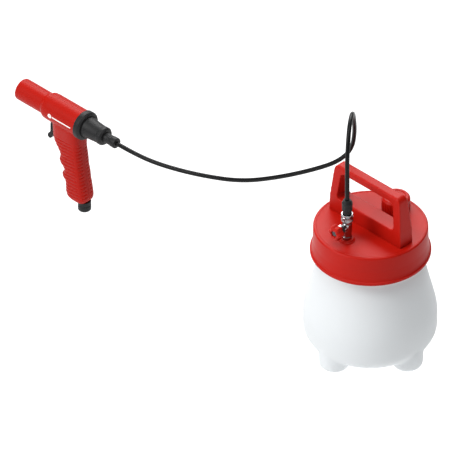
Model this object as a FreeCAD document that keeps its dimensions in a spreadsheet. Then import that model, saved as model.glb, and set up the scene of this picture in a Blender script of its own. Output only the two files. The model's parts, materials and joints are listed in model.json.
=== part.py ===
"""Pneumatic fluid extractor: a suction pistol joined by a hose to a collecting pot.

The frame has +Z up, +X along the pistol's barrel from its muzzle towards the pot, and its origin on
the floor under the middle of the whole object.  Lengths are millimetres.
"""
import FreeCAD, Part
import Sketcher
import math
import os

doc = FreeCAD.newDocument("FluidExtractor")
sheet = doc.addObject("Spreadsheet::Sheet", "Sizes")
UP = FreeCAD.Rotation()
ALONG_X = FreeCAD.Rotation(FreeCAD.Vector(0, 1, 0), 90)
ALONG_MINUS_Y = FreeCAD.Rotation(FreeCAD.Vector(1, 0, 0), 90)
FULL_TURN = 360
EPS = 1e-9


# ---------------------------------------------------------------- sizes

class Size:
    """A length that carries its value together with the spreadsheet expression it comes from."""

    def __init__(self, value, text):
        self.value = value
        self.text = text

    def joined(self, other, sign, value):
        return Size(value, "(%s %s %s)" % (self.text, sign, text_of(other)))

    def __add__(self, other):
        return self.joined(other, "+", self.value + value_of(other))

    def __radd__(self, other):
        return as_size(other) + self

    def __sub__(self, other):
        return self.joined(other, "-", self.value - value_of(other))

    def __rsub__(self, other):
        return as_size(other) - self

    def __mul__(self, other):
        return self.joined(other, "*", self.value * value_of(other))

    def __rmul__(self, other):
        return as_size(other) * self

    def __truediv__(self, other):
        return self.joined(other, "/", self.value / value_of(other))

    def __neg__(self):
        return 0 - self


def value_of(thing):
    return thing.value if isinstance(thing, Size) else float(thing)


def text_of(thing):
    return thing.text if isinstance(thing, Size) else repr(float(thing))


def as_size(thing):
    return thing if isinstance(thing, Size) else Size(float(thing), repr(float(thing)))


rows_used = 0


def size(alias, value, note):
    """Write one driving dimension into the sheet and hand it back as a Size."""
    global rows_used
    rows_used += 1
    sheet.set("A%d" % rows_used, note)
    sheet.set("B%d" % rows_used, repr(float(value)))
    sheet.setAlias("B%d" % rows_used, alias)
    return Size(float(value), "Sizes." + alias)


# bottle
bottle_radius = size("bottle_radius", 88.5, "widest radius of the bottle")
bottle_wall = size("bottle_wall", 2.4, "blown wall of the bottle")
belly_level = size("belly_level", 46, "height of the widest place")
base_lift = size("base_lift", 14, "bowl's flat bottom above the floor")
belly_bend = size("belly_bend", 90, "radius of the bend above the widest place")
cone_foot_level = size("cone_foot_level", 66, "where the straight cone starts")
cone_foot_inset = size("cone_foot_inset", 2.3, "how far the cone's foot is inside the widest radius")
shoulder_step = size("shoulder_step", 3.2, "shoulder outside the neck")
shoulder_rise = size("shoulder_rise", 14, "height of the shoulder")
neck_length = size("neck_length", 44, "length of the straight neck")
neck_radius = size("neck_radius", 69, "outside of the neck")
rim_level = size("rim_level", 190, "top of the bottle's rim")
foot_radius = size("foot_radius", 21, "radius of a moulded foot")
foot_spacing = size("foot_spacing", 68, "distance of each foot from the bottle's axis")
foot_round = size("foot_round", 15, "round at the bottom of a foot")
foot_side_top = size("foot_side_top", 30, "top of the upright side of a foot")
foot_crown = size("foot_crown", 48, "where a foot has run into the bowl")
foot_crown_radius = size("foot_crown_radius", 13, "radius of a foot at its crown")
foot_count = 4

# screw lid, its lugs and its gasket
lid_wall = size("lid_wall", 4, "thickness of the lid's top")
lid_clearance = size("lid_clearance", 3.5, "room between the neck and the lid's skirt")
lid_skirt_wall = size("lid_skirt_wall", 3, "wall of the lid's skirt at the top")
lid_flare = size("lid_flare", 4.5, "flange round the lid's mouth, beyond its skirt")
flange_height = size("flange_height", 4.5, "upright edge of the flange above the lid's mouth")
flare_height = size("flare_height", 11, "where the flange has run in, above the lid's mouth")
flare_step = size("flare_step", 1.6, "skirt at that height, beyond its radius at the top")
skirt_height = size("skirt_height", 19, "where the skirt starts to lean, above the lid's mouth")
skirt_step = size("skirt_step", 0.6, "skirt at that height, beyond its radius at the top")
lid_depth = size("lid_depth", 42, "height of the whole lid")
lid_round = size("lid_round", 3, "round on the lid's top edge")
gasket_thickness = size("gasket_thickness", 3, "flat gasket between rim and lid")
gasket_bore = size("gasket_bore", 64, "inner radius of the gasket")
lug_height = size("lug_height", 4, "height of a closing lug")
lug_drop = size("lug_drop", 24, "underside of the bottle's lugs below its rim")
lug_gap = size("lug_gap", 1, "free height between the bottle's and the lid's lugs")
lug_play = size("lug_play", 0.6, "free width beside each lug")
lug_sweep = size("lug_sweep", 44, "degrees that one lug spans")
lug_count = 3

# carrying handle
handle_base_half = size("handle_base_half", 65, "half the handle's length on the lid")
handle_top_half = size("handle_top_half", 59, "half the handle's length at the top")
handle_rise = size("handle_rise", 73, "top of the handle above the lid")
handle_knuckle = size("handle_knuckle", 11, "round of the handle's two top corners")
beam_rise = size("beam_rise", 22, "height of the lower beam")
bar_depth = size("bar_depth", 9, "thickness of the bar in the hand")
bar_width = size("bar_width", 12.5, "width of the bar in the hand")
post_thickness = size("post_thickness", 13.5, "each post along the handle")
window_lean = size("window_lean", 0.4, "lean of the window's side within its lower corner")
post_width_base = size("post_width_base", 23, "width of the posts and beam")
post_width_top = size("post_width_top", 16, "width of the knuckles")
handle_screw_radius = size("handle_screw_radius", 2, "shank of the handle's screws")
handle_screw_depth = size("handle_screw_depth", 11, "how deep they reach into the handle")
handle_screw_across = size("handle_screw_across", 6, "each screw beside the handle's middle line")
screw_head_radius = size("screw_head_radius", 3.6, "pan head radius")
screw_head_height = size("screw_head_height", 2.4, "pan head height")

# filling neck and its cap
fill_offset = size("fill_offset", 48, "filling neck behind the handle")
fill_neck_radius = size("fill_neck_radius", 14, "outside of the filling neck")
fill_bore = size("fill_bore", 11, "bore of the filling neck")
fill_neck_rise = size("fill_neck_rise", 14, "filling neck above the lid")
fill_cap_radius = size("fill_cap_radius", 19.2, "outside of the filling cap")
fill_cap_rise = size("fill_cap_rise", 21, "top of the filling cap above the lid")
fill_cap_roof = size("fill_cap_roof", 3.5, "thickness of the cap's top")
fill_cap_gap = size("fill_cap_gap", 1.5, "cap's lower edge above the lid")
thread_play = size("thread_play", 0.4, "radial room of the cap on its neck")
face_play = size("face_play", 0.1, "gap that keeps flat moving faces apart")

# shut-off valve on the lid
valve_offset = size("valve_offset", 45, "valve in front of the handle")
valve_stem_radius = size("valve_stem_radius", 5, "threaded tail through the lid")
valve_wall = size("valve_wall", 1.3, "wall round the ball's chamber")
valve_boss_radius = size("valve_boss_radius", 9, "moulded ring on the lid under the valve")
valve_boss_rise = size("valve_boss_rise", 3, "height of that ring")
valve_ball_rise = size("valve_ball_rise", 22, "centre of the ball above the lid")
ball_radius = size("ball_radius", 4.8, "shut-off ball")
way_radius = size("way_radius", 2, "free way through ball and valve")
ball_room = size("ball_room", 0.4, "room round the ball")
seat_height = size("seat_height", 2, "height of each seat ring")
seat_play = size("seat_play", 0.15, "gap between ball and each seat ring's edge")
barrel_rise = size("barrel_rise", 28, "top of the valve's barrel above the lid")
bonnet_radius = size("bonnet_radius", 5.2, "side arm of the valve")
bonnet_reach = size("bonnet_reach", 9.4, "end of the side arm from the valve's axis")
packing_depth = size("packing_depth", 2.6, "depth of the packing's pocket")
packing_radius = size("packing_radius", 4, "radius of the packing's pocket")
spindle_radius = size("spindle_radius", 2.2, "spindle that turns the ball")
running_play = size("running_play", 0.05, "radial clearance of a running fit")
nut_reach = size("nut_reach", 4, "length of the gland nut")
nut_radius = size("nut_radius", 6.6, "corner radius of the gland nut")
knob_start = size("knob_start", 15, "back of the knob from the valve's axis")
knob_depth = size("knob_depth", 11, "depth of the knob")
knob_core = size("knob_core", 8.6, "core radius of the knob")
lobe_radius = size("lobe_radius", 2.8, "radius of each finger lobe")
lobe_pitch = size("lobe_pitch", 8.2, "lobes from the knob's axis")
lobe_count = 6
dish_radius = size("dish_radius", 5, "recess in the knob's face")
dish_depth = size("dish_depth", 3, "depth of that recess")

# hose, its plug and socket
hose_radius = size("hose_radius", 3, "outside radius of the hose")
socket_radius = size("socket_radius", 8, "knurled ring of the socket")
socket_top_rise = size("socket_top_rise", 43, "top of the socket above the lid")
socket_step_rise = size("socket_step_rise", 32, "step of the socket above the lid")
plug_tail_radius = size("plug_tail_radius", 6, "plug inside the socket")
plug_head_radius = size("plug_head_radius", 7.25, "widest radius of the plug")
plug_top_rise = size("plug_top_rise", 65, "top of the plug above the lid")
plug_chamfer = size("plug_chamfer", 2.4, "chamfer on the plug's top")
barb_bore = size("barb_bore", 1.3, "way through a hose tail")

# float valve under the lid
washer_thickness = size("washer_thickness", 1, "washer under the lid")
locknut_height = size("locknut_height", 5, "lock nut under the lid")
locknut_radius = size("locknut_radius", 7.6, "corner radius of the lock nut")
cage_play = size("cage_play", 1.6, "room round the float ball")
cage_wall = size("cage_wall", 2.4, "wall of the float cage")
cage_drop = size("cage_drop", 35, "length of the float cage")
cage_roof = size("cage_roof", 3.6, "thickness of the cage's top")
cage_window = size("cage_window", 8, "width of a window in the cage")
float_radius = size("float_radius", 8, "float ball")
float_hole = size("float_hole", 5, "hole in the cage's floor")

# pistol: places
gun_reach = size("gun_reach", 478, "pistol's inlet from the pot's axis")
gun_offset = size("gun_offset", 50, "pistol's plane in front of the pot's axis")
barrel_level = size("barrel_level", 140, "barrel's axis above the floor")
muzzle_reach = size("muzzle_reach", 115, "muzzle in front of the inlet")
barrel_tail = size("barrel_tail", 2, "rear end of the casing in front of the inlet")

# pistol: casing
nose_radius = size("nose_radius", 15.4, "front tube of the casing")
barrel_radius = size("barrel_radius", 19, "main barrel of the casing")
casing_wall = size("casing_wall", 2.4, "wall of the casing")
shoulder_start = size("shoulder_start", 67, "front end of the shoulder, from the inlet")
shoulder_end = size("shoulder_end", 63.5, "rear end of the shoulder, from the inlet")
grip_bottom = size("grip_bottom", 15, "underside of the grip")
grip_width = size("grip_width", 29, "width of the grip")
boss_radius = size("boss_radius", 3, "screw bosses in the casing")
casing_screw_radius = size("casing_screw_radius", 1.3, "shank of the casing's screws")
casing_screw_length = size("casing_screw_length", 16, "length of the casing's screws")

# pistol: air and suction parts
ring_step = size("ring_step", 1.5, "clamp ring beyond the casing")
ring_length = size("ring_length", 10, "length of the clamp ring")
clamp_lip = size("clamp_lip", 4.1, "how far the clamp ring reaches in over the casing")
adaptor_end_radius = size("adaptor_end_radius", 12.2, "suction adaptor at its rear")
adaptor_tail = size("adaptor_tail", 41, "rear face of the adaptor behind the inlet")
gland_radius = size("gland_radius", 7.5, "hose gland")
gland_tail = size("gland_tail", 61, "rear face of the gland behind the inlet")
gland_round = size("gland_round", 1.5, "rounded edge of that face")
ejector_play = size("ejector_play", 2.6, "room round the ejector body")
ejector_front = size("ejector_front", 50, "front of the ejector's body, before the inlet")
mixing_radius = size("mixing_radius", 3.2, "throat of the ejector")
chamber_radius = size("chamber_radius", 9, "suction chamber of the ejector")
exhaust_bore = size("exhaust_bore", 8, "bore of the exhaust at the muzzle")
nozzle_radius = size("nozzle_radius", 3.5, "air nozzle")
nozzle_jet = size("nozzle_jet", 0.9, "jet of the nozzle")
feed_place = size("feed_place", 28, "feed pipe in front of the inlet")
valve_drop = size("valve_drop", 34, "axis of the trigger valve below the barrel's")
valve_block_radius = size("valve_block_radius", 7, "trigger valve's body")
valve_front = size("valve_front", 41.2, "front of the trigger valve's body, before the inlet")
valve_rear = size("valve_rear", 14, "rear of the trigger valve's body, before the inlet")
poppet_radius = size("poppet_radius", 4.2, "poppet on the valve stem")
stem_radius = size("stem_radius", 2.5, "valve stem")
stem_gap = size("stem_gap", 0.5, "free travel between the trigger and the valve stem")
nose_flat = size("nose_flat", 1, "flat on the valve stem's nose")
nose_cone = size("nose_cone", 1.6, "length of the cone behind that flat")
air_chamber_radius = size("air_chamber_radius", 5, "air chamber of the trigger valve")
spring_wire = size("spring_wire", 0.45, "radius of the spring's wire")
spring_coil = size("spring_coil", 3.6, "mean radius of the spring")
spring_turns = 7
pin_radius = size("pin_radius", 1.25, "trigger's pin")
pin_half = size("pin_half", 7.2, "half the pin's length")
trigger_width = size("trigger_width", 6, "width of the trigger")
trigger_play = size("trigger_play", 0.3, "room beside the trigger")
eye_radius = size("eye_radius", 2.3, "eye of the trigger round its pin")
lever_back = size("lever_back", 1, "back of the trigger behind its pin, where it meets the valve stem")
pivot_place = size("pivot_place", 56, "trigger's pin in front of the inlet")
pivot_depth = size("pivot_depth", 2.5, "trigger's pin inside the barrel's underside")
inlet_radius = size("inlet_radius", 9, "air inlet connector")
inlet_bore = size("inlet_bore", 5.9, "core radius of its G 1/4 thread")
inlet_depth = size("inlet_depth", 12, "depth of that thread")
inlet_neck_radius = size("inlet_neck_radius", 5, "neck of the inlet connector in the grip")
inlet_neck_rise = size("inlet_neck_rise", 9, "height of that neck above the grip's underside")
screen_radius = size("screen_radius", 5.2, "screen above the thread")
screen_thickness = size("screen_thickness", 1, "thickness of the screen")
air_way_place = size("air_way_place", 20, "air pipe's way into the trigger valve, in front of the inlet")
pipe_radius = size("pipe_radius", 4, "air pipe in the grip")
pipe_bore = size("pipe_bore", 2.8, "bore of the air pipe")

# what follows from the sizes above
lid_level = rim_level + gasket_thickness + lid_wall
lid_under = lid_level - lid_wall
lid_mouth_level = lid_level - lid_depth
lid_radius = neck_radius + lid_clearance + lid_skirt_wall
lid_flare_radius = lid_radius + lid_flare
neck_level = rim_level - neck_length
shoulder_level = neck_level - shoulder_rise
shoulder_radius = neck_radius + shoulder_step
lug_level = rim_level - lug_drop
valve_body_radius = ball_radius + ball_room + valve_wall
cage_radius = float_radius + cage_play + cage_wall
ring_radius = barrel_radius + ring_step
adaptor_radius = barrel_radius - clamp_lip
ejector_radius = barrel_radius - casing_wall - ejector_play
valve_level = barrel_level - valve_drop
pivot_level = barrel_level - barrel_radius + pivot_depth
pot_x = (gun_reach + muzzle_reach - bottle_radius) / 2
gun_x = pot_x - gun_reach
gun_y = -gun_offset
valve_y = -valve_offset
ball_level = lid_level + valve_ball_rise
doc.recompute()


# ---------------------------------------------------------------- ways of making a piece

nodes = []


def bind(item, prop, thing):
    """Give a property its value, through the sheet where the value comes from there."""
    if isinstance(thing, Size):
        item.setExpression(prop, thing.text)
    else:
        setattr(item, prop, thing)


def place(item, at, turn=UP):
    """Put an object at a point, each coordinate bound to the sheet."""
    item.Placement = FreeCAD.Placement(FreeCAD.Vector(*[value_of(c) for c in at]), turn)
    for axis, coordinate in zip("xyz", at):
        if isinstance(coordinate, Size):
            item.setExpression("Placement.Base." + axis, coordinate.text)
    return item


def plane_of(body, role):
    return [item for item in body.Origin.OriginFeatures if item.Role == role][0]


def arc_through(start, end, radius):
    """The centre of the arc from start to end: left of the run for a positive radius."""
    half = math.dist(start, end) / 2
    middle = ((start[0] + end[0]) / 2, (start[1] + end[1]) / 2)
    along = ((end[0] - start[0]) / (2 * half), (end[1] - start[1]) / (2 * half))
    height = math.sqrt(max(radius * radius - half * half, 0.0))
    side = 1 if radius > 0 else -1
    return (middle[0] - side * along[1] * height, middle[1] + side * along[0] * height)


def closed_sketch(body, outline, role):
    """A closed sketch through the outline's points.

    A point is (across, up), or (across, up, radius) where the run that ends there is an arc: the arc
    turns left for a positive radius and right for a negative one.
    """
    sketch = body.newObject("Sketcher::SketchObject", body.Name + "Sketch")
    sketch.AttachmentSupport = [(plane_of(body, role), "")]
    sketch.MapMode = "FlatFace"
    flat = [(value_of(p[0]), value_of(p[1])) for p in outline]
    ends = []
    for index, point in enumerate(outline):
        start, end = flat[index - 1], flat[index]
        if len(point) == 2:
            line = Part.LineSegment(FreeCAD.Vector(*start, 0), FreeCAD.Vector(*end, 0))
            sketch.addGeometry(line, False)
            ends.append((1, 2))
            continue
        radius = value_of(point[2])
        centre = arc_through(start, end, radius)
        first, last = (start, end) if radius > 0 else (end, start)
        angles = [math.atan2(p[1] - centre[1], p[0] - centre[0]) for p in (first, last)]
        if angles[1] < angles[0]:
            angles[1] += 2 * math.pi
        circle = Part.Circle(FreeCAD.Vector(*centre, 0), FreeCAD.Vector(0, 0, 1), abs(radius))
        sketch.addGeometry(Part.ArcOfCircle(circle, *angles), False)
        ends.append((1, 2) if radius > 0 else (2, 1))
    for index, point in enumerate(outline):
        after = (index + 1) % len(outline)
        start_end, this_end = ends[after][0], ends[index][1]
        sketch.addConstraint(Sketcher.Constraint("Coincident", index, this_end, after, start_end))
        for kind, coordinate in (("DistanceX", point[0]), ("DistanceY", point[1])):
            fix = Sketcher.Constraint(kind, -1, 1, index, this_end, value_of(coordinate))
            number = sketch.addConstraint(fix)
            if isinstance(coordinate, Size):
                sketch.setExpression("Constraints[%d]" % number, coordinate.text)
        if len(point) == 3:
            number = sketch.addConstraint(Sketcher.Constraint("Radius", index, abs(value_of(point[2]))))
            if isinstance(point[2], Size):
                sign = "" if value_of(point[2]) > 0 else "-"
                sketch.setExpression("Constraints[%d]" % number, sign + point[2].text)
    return sketch


def new_body(label):
    body = doc.addObject("PartDesign::Body", label)
    body.Label = label
    return body


def turned(label, outline, at=(0, 0, 0), turn=UP, angle=FULL_TURN):
    """A turned piece: the outline gives (radius, height) points round the piece's own axis."""
    body = new_body(label)
    sketch = closed_sketch(body, outline, "XZ_Plane")
    feature = body.newObject("PartDesign::Revolution", label + "Turn")
    feature.Profile = sketch
    feature.ReferenceAxis = (sketch, ["V_Axis"])
    bind(feature, "Angle", angle)
    body.Tip = feature
    return place(body, at, turn)


def ring(label, inner, outer, low, high, at=(0, 0, 0), turn=UP):
    """A plain ring or tube."""
    return turned(label, [(inner, low), (outer, low), (outer, high), (inner, high)], at, turn)


def plate(label, outline, width, at=(0, 0, 0), turn=UP, role="XZ_Plane"):
    """A piece of constant width, symmetrical about the plane of its outline."""
    body = new_body(label)
    sketch = closed_sketch(body, outline, role)
    feature = body.newObject("PartDesign::Pad", label + "Pad")
    feature.Profile = sketch
    feature.SideType = "Symmetric"
    bind(feature, "Length", width)
    body.Tip = feature
    return place(body, at, turn)


def rod(label, radius, length, at=(0, 0, 0), turn=UP):
    item = doc.addObject("Part::Cylinder", label)
    bind(item, "Radius", radius)
    bind(item, "Height", length)
    return place(item, at, turn)


def block(label, length, width, height, at):
    """A box centred on its point in X and Y, standing on it in Z."""
    item = doc.addObject("Part::Box", label)
    bind(item, "Length", length)
    bind(item, "Width", width)
    bind(item, "Height", height)
    return place(item, (at[0] - as_size(length) / 2, at[1] - as_size(width) / 2, at[2]))


def hexagon(label, corner, length, at, turn=UP):
    item = doc.addObject("Part::Prism", label)
    item.Polygon = 6
    bind(item, "Circumradius", corner)
    bind(item, "Height", length)
    return place(item, at, turn)


def ball(label, radius, at):
    item = doc.addObject("Part::Sphere", label)
    bind(item, "Radius", radius)
    return place(item, at)


def fuse(label, *items):
    item = doc.addObject("Part::MultiFuse", label)
    item.Shapes = list(items)
    item.Refine = True
    return item


def cut(label, base, *tools):
    item = doc.addObject("Part::Cut", label)
    item.Base = base
    item.Tool = tools[0] if len(tools) == 1 else fuse(label + "Tools", *tools)
    item.Refine = True
    return item


def common(label, one, other):
    item = doc.addObject("Part::Common", label)
    item.Base = one
    item.Tool = other
    return item


def group(label, items):
    """Identical pieces that share a node, kept as separate solids."""
    item = doc.addObject("Part::Compound", label)
    item.Links = list(items)
    return item


def keep(item, node):
    """Name a finished piece and put it on the list of nodes."""
    item.Label = node
    nodes.append((node, item))
    return item


def round_the_axis(count, radius, centre):
    """Evenly spaced places on a circle, each bound to the circle's radius."""
    for index in range(count):
        angle = 2 * math.pi * index / count
        along = radius * math.cos(angle) if abs(math.cos(angle)) > EPS else 0
        across = radius * math.sin(angle) if abs(math.sin(angle)) > EPS else 0
        yield index, centre[0] + along, centre[1] + across


# ---------------------------------------------------------------- pot

POT = (pot_x, 0, 0)


def bowl(label, inset):
    """The bottle's bowl, cone, shoulder and neck, its outside or the same drawn in by the wall."""
    corner = belly_level - base_lift
    top = rim_level if not isinstance(inset, Size) else rim_level + 1
    lift = base_lift + inset
    outline = [
        (0, lift),
        (bottle_radius - corner, lift),
        (bottle_radius - inset, belly_level, corner - inset),
        (bottle_radius - cone_foot_inset - inset, cone_foot_level, belly_bend - inset),
        (shoulder_radius - inset, shoulder_level),
        (neck_radius - inset, neck_level),
        (neck_radius - inset, top),
        (0, top),
    ]
    return turned(label, outline, POT)


def foot(label, inset, x, y):
    """One round moulded foot, closed at its top inside the bowl."""
    outline = [
        (0, 0 + inset),
        (foot_radius - foot_round, 0 + inset),
        (foot_radius - inset, foot_round, foot_round - inset),
        (foot_radius - inset, foot_side_top),
        (foot_crown_radius - inset, foot_crown),
        (0, foot_crown),
    ]
    return turned(label, outline, (x, y, 0))


def feet(label, inset):
    spots = round_the_axis(foot_count, foot_spacing, (pot_x, as_size(0)))
    return [foot("%s%d" % (label, index), inset, x, y) for index, x, y in spots]


def lugs(label, inner, outer, low, lead):
    """Closing lugs: parts of a ring, evenly spaced; lead is the angle at which the first one starts."""
    outline = [(inner, low), (outer, low), (outer, low + lug_height), (inner, low + lug_height)]
    pieces = []
    for index in range(lug_count):
        turn = FreeCAD.Rotation(FreeCAD.Vector(0, 0, 1), lead + FULL_TURN * index / lug_count)
        pieces.append(turned("%s%d" % (label, index), outline, POT, turn, lug_sweep))
    return pieces


def make_bottle():
    outside = fuse("BottleOutside", bowl("BowlOutside", 0), *feet("FootOutside", 0))
    inside = fuse("BottleInside", bowl("BowlInside", bottle_wall), *feet("FootInside", bottle_wall))
    shell = cut("BottleShell", outside, inside)
    lug_reach = neck_radius + lid_clearance - lug_play
    pieces = lugs("BottleLug", neck_radius - bottle_wall / 2, lug_reach, lug_level, 0)
    keep(fuse("Bottle", shell, *pieces), "bottle")


def make_lid():
    skirt = neck_radius + lid_clearance
    outline = [
        (0, lid_under),
        (skirt, lid_under),
        (skirt, lid_mouth_level),
        (lid_flare_radius - 1, lid_mouth_level),
        (lid_flare_radius, lid_mouth_level + 1, 1),
        (lid_flare_radius, lid_mouth_level + flange_height),
        (lid_radius + flare_step, lid_mouth_level + flare_height),
        (lid_radius + skirt_step, lid_mouth_level + skirt_height),
        (lid_radius, lid_level - lid_round),
        (lid_radius - lid_round, lid_level, lid_round),
        (0, lid_level),
    ]
    cover = turned("LidCover", outline, POT)
    ledge_bore = neck_radius + lug_play
    ledges = lugs("LidLug", ledge_bore, skirt + 1, lug_level - lug_gap - lug_height, 0)
    fill_at = (pot_x, fill_offset, 0)
    neck = ring("FillNeck", fill_bore, fill_neck_radius, lid_under, lid_level + fill_neck_rise, fill_at)
    valve_at = (pot_x, valve_y, 0)
    boss = rod("ValveBoss", valve_boss_radius, lid_wall + valve_boss_rise, (pot_x, valve_y, lid_under))
    holes = [
        rod("FillHole", fill_bore, lid_wall + 2, (pot_x, fill_offset, lid_under - 1)),
        rod("ValveHole", valve_stem_radius, lid_wall + valve_boss_rise + 2,
            (pot_x, valve_y, lid_under - 1)),
    ]
    for index, x, y in handle_screw_places():
        holes.append(rod("LidScrewHole%d" % index, handle_screw_radius, lid_wall + 2, (x, y, lid_under - 1)))
    keep(cut("Lid", fuse("LidSolid", cover, neck, boss, *ledges), *holes), "lid")
    gasket_edge = neck_radius + lid_clearance - lug_play / 2
    keep(ring("Gasket", gasket_bore, gasket_edge, rim_level, lid_under, POT), "lid_gasket")


def handle_screw_places():
    along = handle_base_half - post_thickness / 2
    for index, (end, side) in enumerate([(-1, -1), (-1, 1), (1, -1), (1, 1)]):
        yield index, pot_x + end * along, side * handle_screw_across


def make_handle():
    top = lid_level + handle_rise
    knuckle_level = top - handle_knuckle
    lean = (handle_base_half - handle_top_half) * (1 - handle_knuckle / handle_rise)
    knuckle_half = handle_base_half - lean
    side = [
        (-handle_base_half, lid_level),
        (handle_base_half, lid_level),
        (knuckle_half, knuckle_level),
        (knuckle_half - handle_knuckle, top, handle_knuckle),
        (handle_knuckle - knuckle_half, top),
        (-knuckle_half, knuckle_level, handle_knuckle),
    ]
    sill = lid_level + beam_rise
    lintel = top - bar_depth
    half_low = handle_base_half - post_thickness
    half_high = handle_top_half - post_thickness + 1
    corner = handle_knuckle / 2
    half_sill = half_low - window_lean
    window = [
        (half_low - corner, sill),
        (half_sill, sill + corner, corner),
        (half_high, lintel - corner),
        (half_high - corner, lintel, corner),
        (corner - half_high, lintel),
        (-half_high, lintel - corner, corner),
        (-half_sill, sill + corner),
        (corner - half_low, sill, corner),
    ]
    end_view = [
        (-post_width_base / 2, lid_level),
        (post_width_base / 2, lid_level),
        (post_width_base / 2, sill),
        (post_width_top / 2, knuckle_level),
        (post_width_top / 2, top),
        (-post_width_top / 2, top),
        (-post_width_top / 2, knuckle_level),
        (-post_width_base / 2, sill),
    ]
    frame = plate("HandleSide", side, post_width_base + 2, POT)
    opening = plate("HandleWindow", window, post_width_base + 4, POT)
    profile = plate("HandleEnd", end_view, 2 * handle_base_half + 2, POT, UP, "YZ_Plane")
    blank = common("HandleBlank", cut("HandleFrame", frame, opening), profile)
    waist_width = (post_width_base - bar_width) / 2
    waist_long = 2 * (half_high - corner)
    waist_y = (bar_width + waist_width) / 2
    reliefs = [
        block("HandleRelief%d" % index, waist_long, waist_width, bar_depth + 2,
              (pot_x, sign * waist_y, lintel - 1))
        for index, sign in enumerate((-1, 1))
    ]
    screw_holes = [
        rod("HandleHole%d" % index, handle_screw_radius, handle_screw_depth + 1, (x, y, lid_level - 1))
        for index, x, y in handle_screw_places()
    ]
    keep(cut("Handle", blank, *reliefs, *screw_holes), "carry_handle")
    shank_top = lid_level + handle_screw_depth
    screw = [
        (0, lid_under - screw_head_height),
        (screw_head_radius, lid_under - screw_head_height),
        (screw_head_radius, lid_under),
        (handle_screw_radius, lid_under),
        (handle_screw_radius, shank_top),
        (0, shank_top),
    ]
    screws = [turned("HandleScrew%d" % index, screw, (x, y, 0)) for index, x, y in handle_screw_places()]
    keep(group("HandleScrews", screws), "handle_screws")


def make_fill_cap():
    at = (pot_x, fill_offset, 0)
    top = lid_level + fill_cap_rise
    roof = top - fill_cap_roof
    bore = fill_neck_radius + thread_play
    round_edge = fill_cap_roof / 2
    outline = [
        (0, roof),
        (bore, roof),
        (bore, lid_level + fill_cap_gap),
        (fill_cap_radius, lid_level + fill_cap_gap),
        (fill_cap_radius, top - round_edge),
        (fill_cap_radius - round_edge, top, round_edge),
        (0, top),
    ]
    keep(turned("FillCap", outline, at), "fill_cap")
    neck_top = lid_level + fill_neck_rise
    seal = ring("FillSeal", 0, fill_neck_radius, neck_top + face_play, roof - 3 * face_play, at)
    keep(seal, "fill_cap_seal")


# ---------------------------------------------------------------- shut-off valve

VALVE = (pot_x, valve_y, 0)
SPINDLE = (pot_x, valve_y, ball_level)


def make_valve_body():
    tail_bottom = lid_under - washer_thickness - locknut_height - cage_roof
    barrel_foot = lid_level + valve_boss_rise
    barrel_top = lid_level + barrel_rise
    chamber = ball_radius + ball_room
    chamber_floor = ball_level - ball_radius - seat_height / 4
    outline = [
        (0, tail_bottom),
        (valve_stem_radius, tail_bottom),
        (valve_stem_radius, barrel_foot),
        (valve_body_radius, barrel_foot),
        (valve_body_radius, barrel_top),
        (0, barrel_top),
    ]
    barrel = turned("ValveBarrel", outline, VALVE)
    arm = rod("ValveArm", bonnet_radius, bonnet_reach, SPINDLE, ALONG_MINUS_Y)
    pocket_at = (pot_x, valve_y - bonnet_reach + packing_depth, ball_level)
    ways = [
        rod("ValveWay", way_radius, chamber_floor - tail_bottom + 2, (pot_x, valve_y, tail_bottom - 1)),
        rod("ValveChamber", chamber, barrel_top - chamber_floor + 1, (pot_x, valve_y, chamber_floor)),
        rod("SpindleWay", spindle_radius + running_play, bonnet_reach + 1, SPINDLE, ALONG_MINUS_Y),
        rod("PackingPocket", packing_radius, packing_depth + 1, pocket_at, ALONG_MINUS_Y),
    ]
    keep(cut("ValveBody", fuse("ValveBlank", barrel, arm), *ways), "valve_body")
    return chamber, chamber_floor, barrel_top


def make_seats(chamber, chamber_floor):
    """Two rings that hold the ball, dished on the side that faces it."""
    low_top = chamber_floor + seat_height
    reach = ball_level - low_top
    dish = math.sqrt(max(value_of(ball_radius) ** 2 - value_of(reach) ** 2, 0.0))
    dish_edge = dish + seat_play
    low = [
        (way_radius + seat_play, chamber_floor),
        (chamber - seat_play, chamber_floor),
        (chamber - seat_play, low_top),
        (dish_edge, low_top),
    ]
    high = [(radius, 2 * ball_level - level) for radius, level in low]
    seats = [turned("LowSeat", low, VALVE), turned("HighSeat", high, VALVE)]
    keep(group("ValveSeats", seats), "valve_seats")
    return 2 * ball_level - chamber_floor


def make_spindle():
    slot_depth = ball_radius / 4
    slot_width = spindle_radius / 2
    tang_width = slot_width - 2 * running_play
    shut_ball = cut(
        "ShutBall",
        ball("BallBlank", ball_radius, SPINDLE),
        rod("BallWay", way_radius, 2 * ball_radius + 2, (pot_x, valve_y, ball_level - ball_radius - 1)),
        block("BallSlot", slot_width, slot_depth * 2, 2 * ball_radius,
              (pot_x, valve_y - ball_radius, ball_level - ball_radius)),
    )
    keep(shut_ball, "valve_ball")
    stem_start = ball_radius + running_play
    stem_end = knob_start + knob_depth - dish_depth
    stem = [
        (0, stem_start),
        (spindle_radius, stem_start),
        (spindle_radius, stem_end),
        (0, stem_end),
    ]
    tang_reach = slot_depth - 2 * running_play
    tang = block("SpindleTang", tang_width, tang_reach * 2, 2 * (spindle_radius - way_radius / 2),
                 (pot_x, valve_y - stem_start, ball_level - spindle_radius + way_radius / 2))
    screw_hole_at = (pot_x, valve_y - stem_end + 5, ball_level)
    hole = rod("SpindleHole", casing_screw_radius, 6, screw_hole_at, ALONG_MINUS_Y)
    shaft = fuse("SpindleBlank", turned("SpindleTurned", stem, SPINDLE, ALONG_MINUS_Y), tang)
    keep(cut("Spindle", shaft, hole), "valve_spindle")


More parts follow.
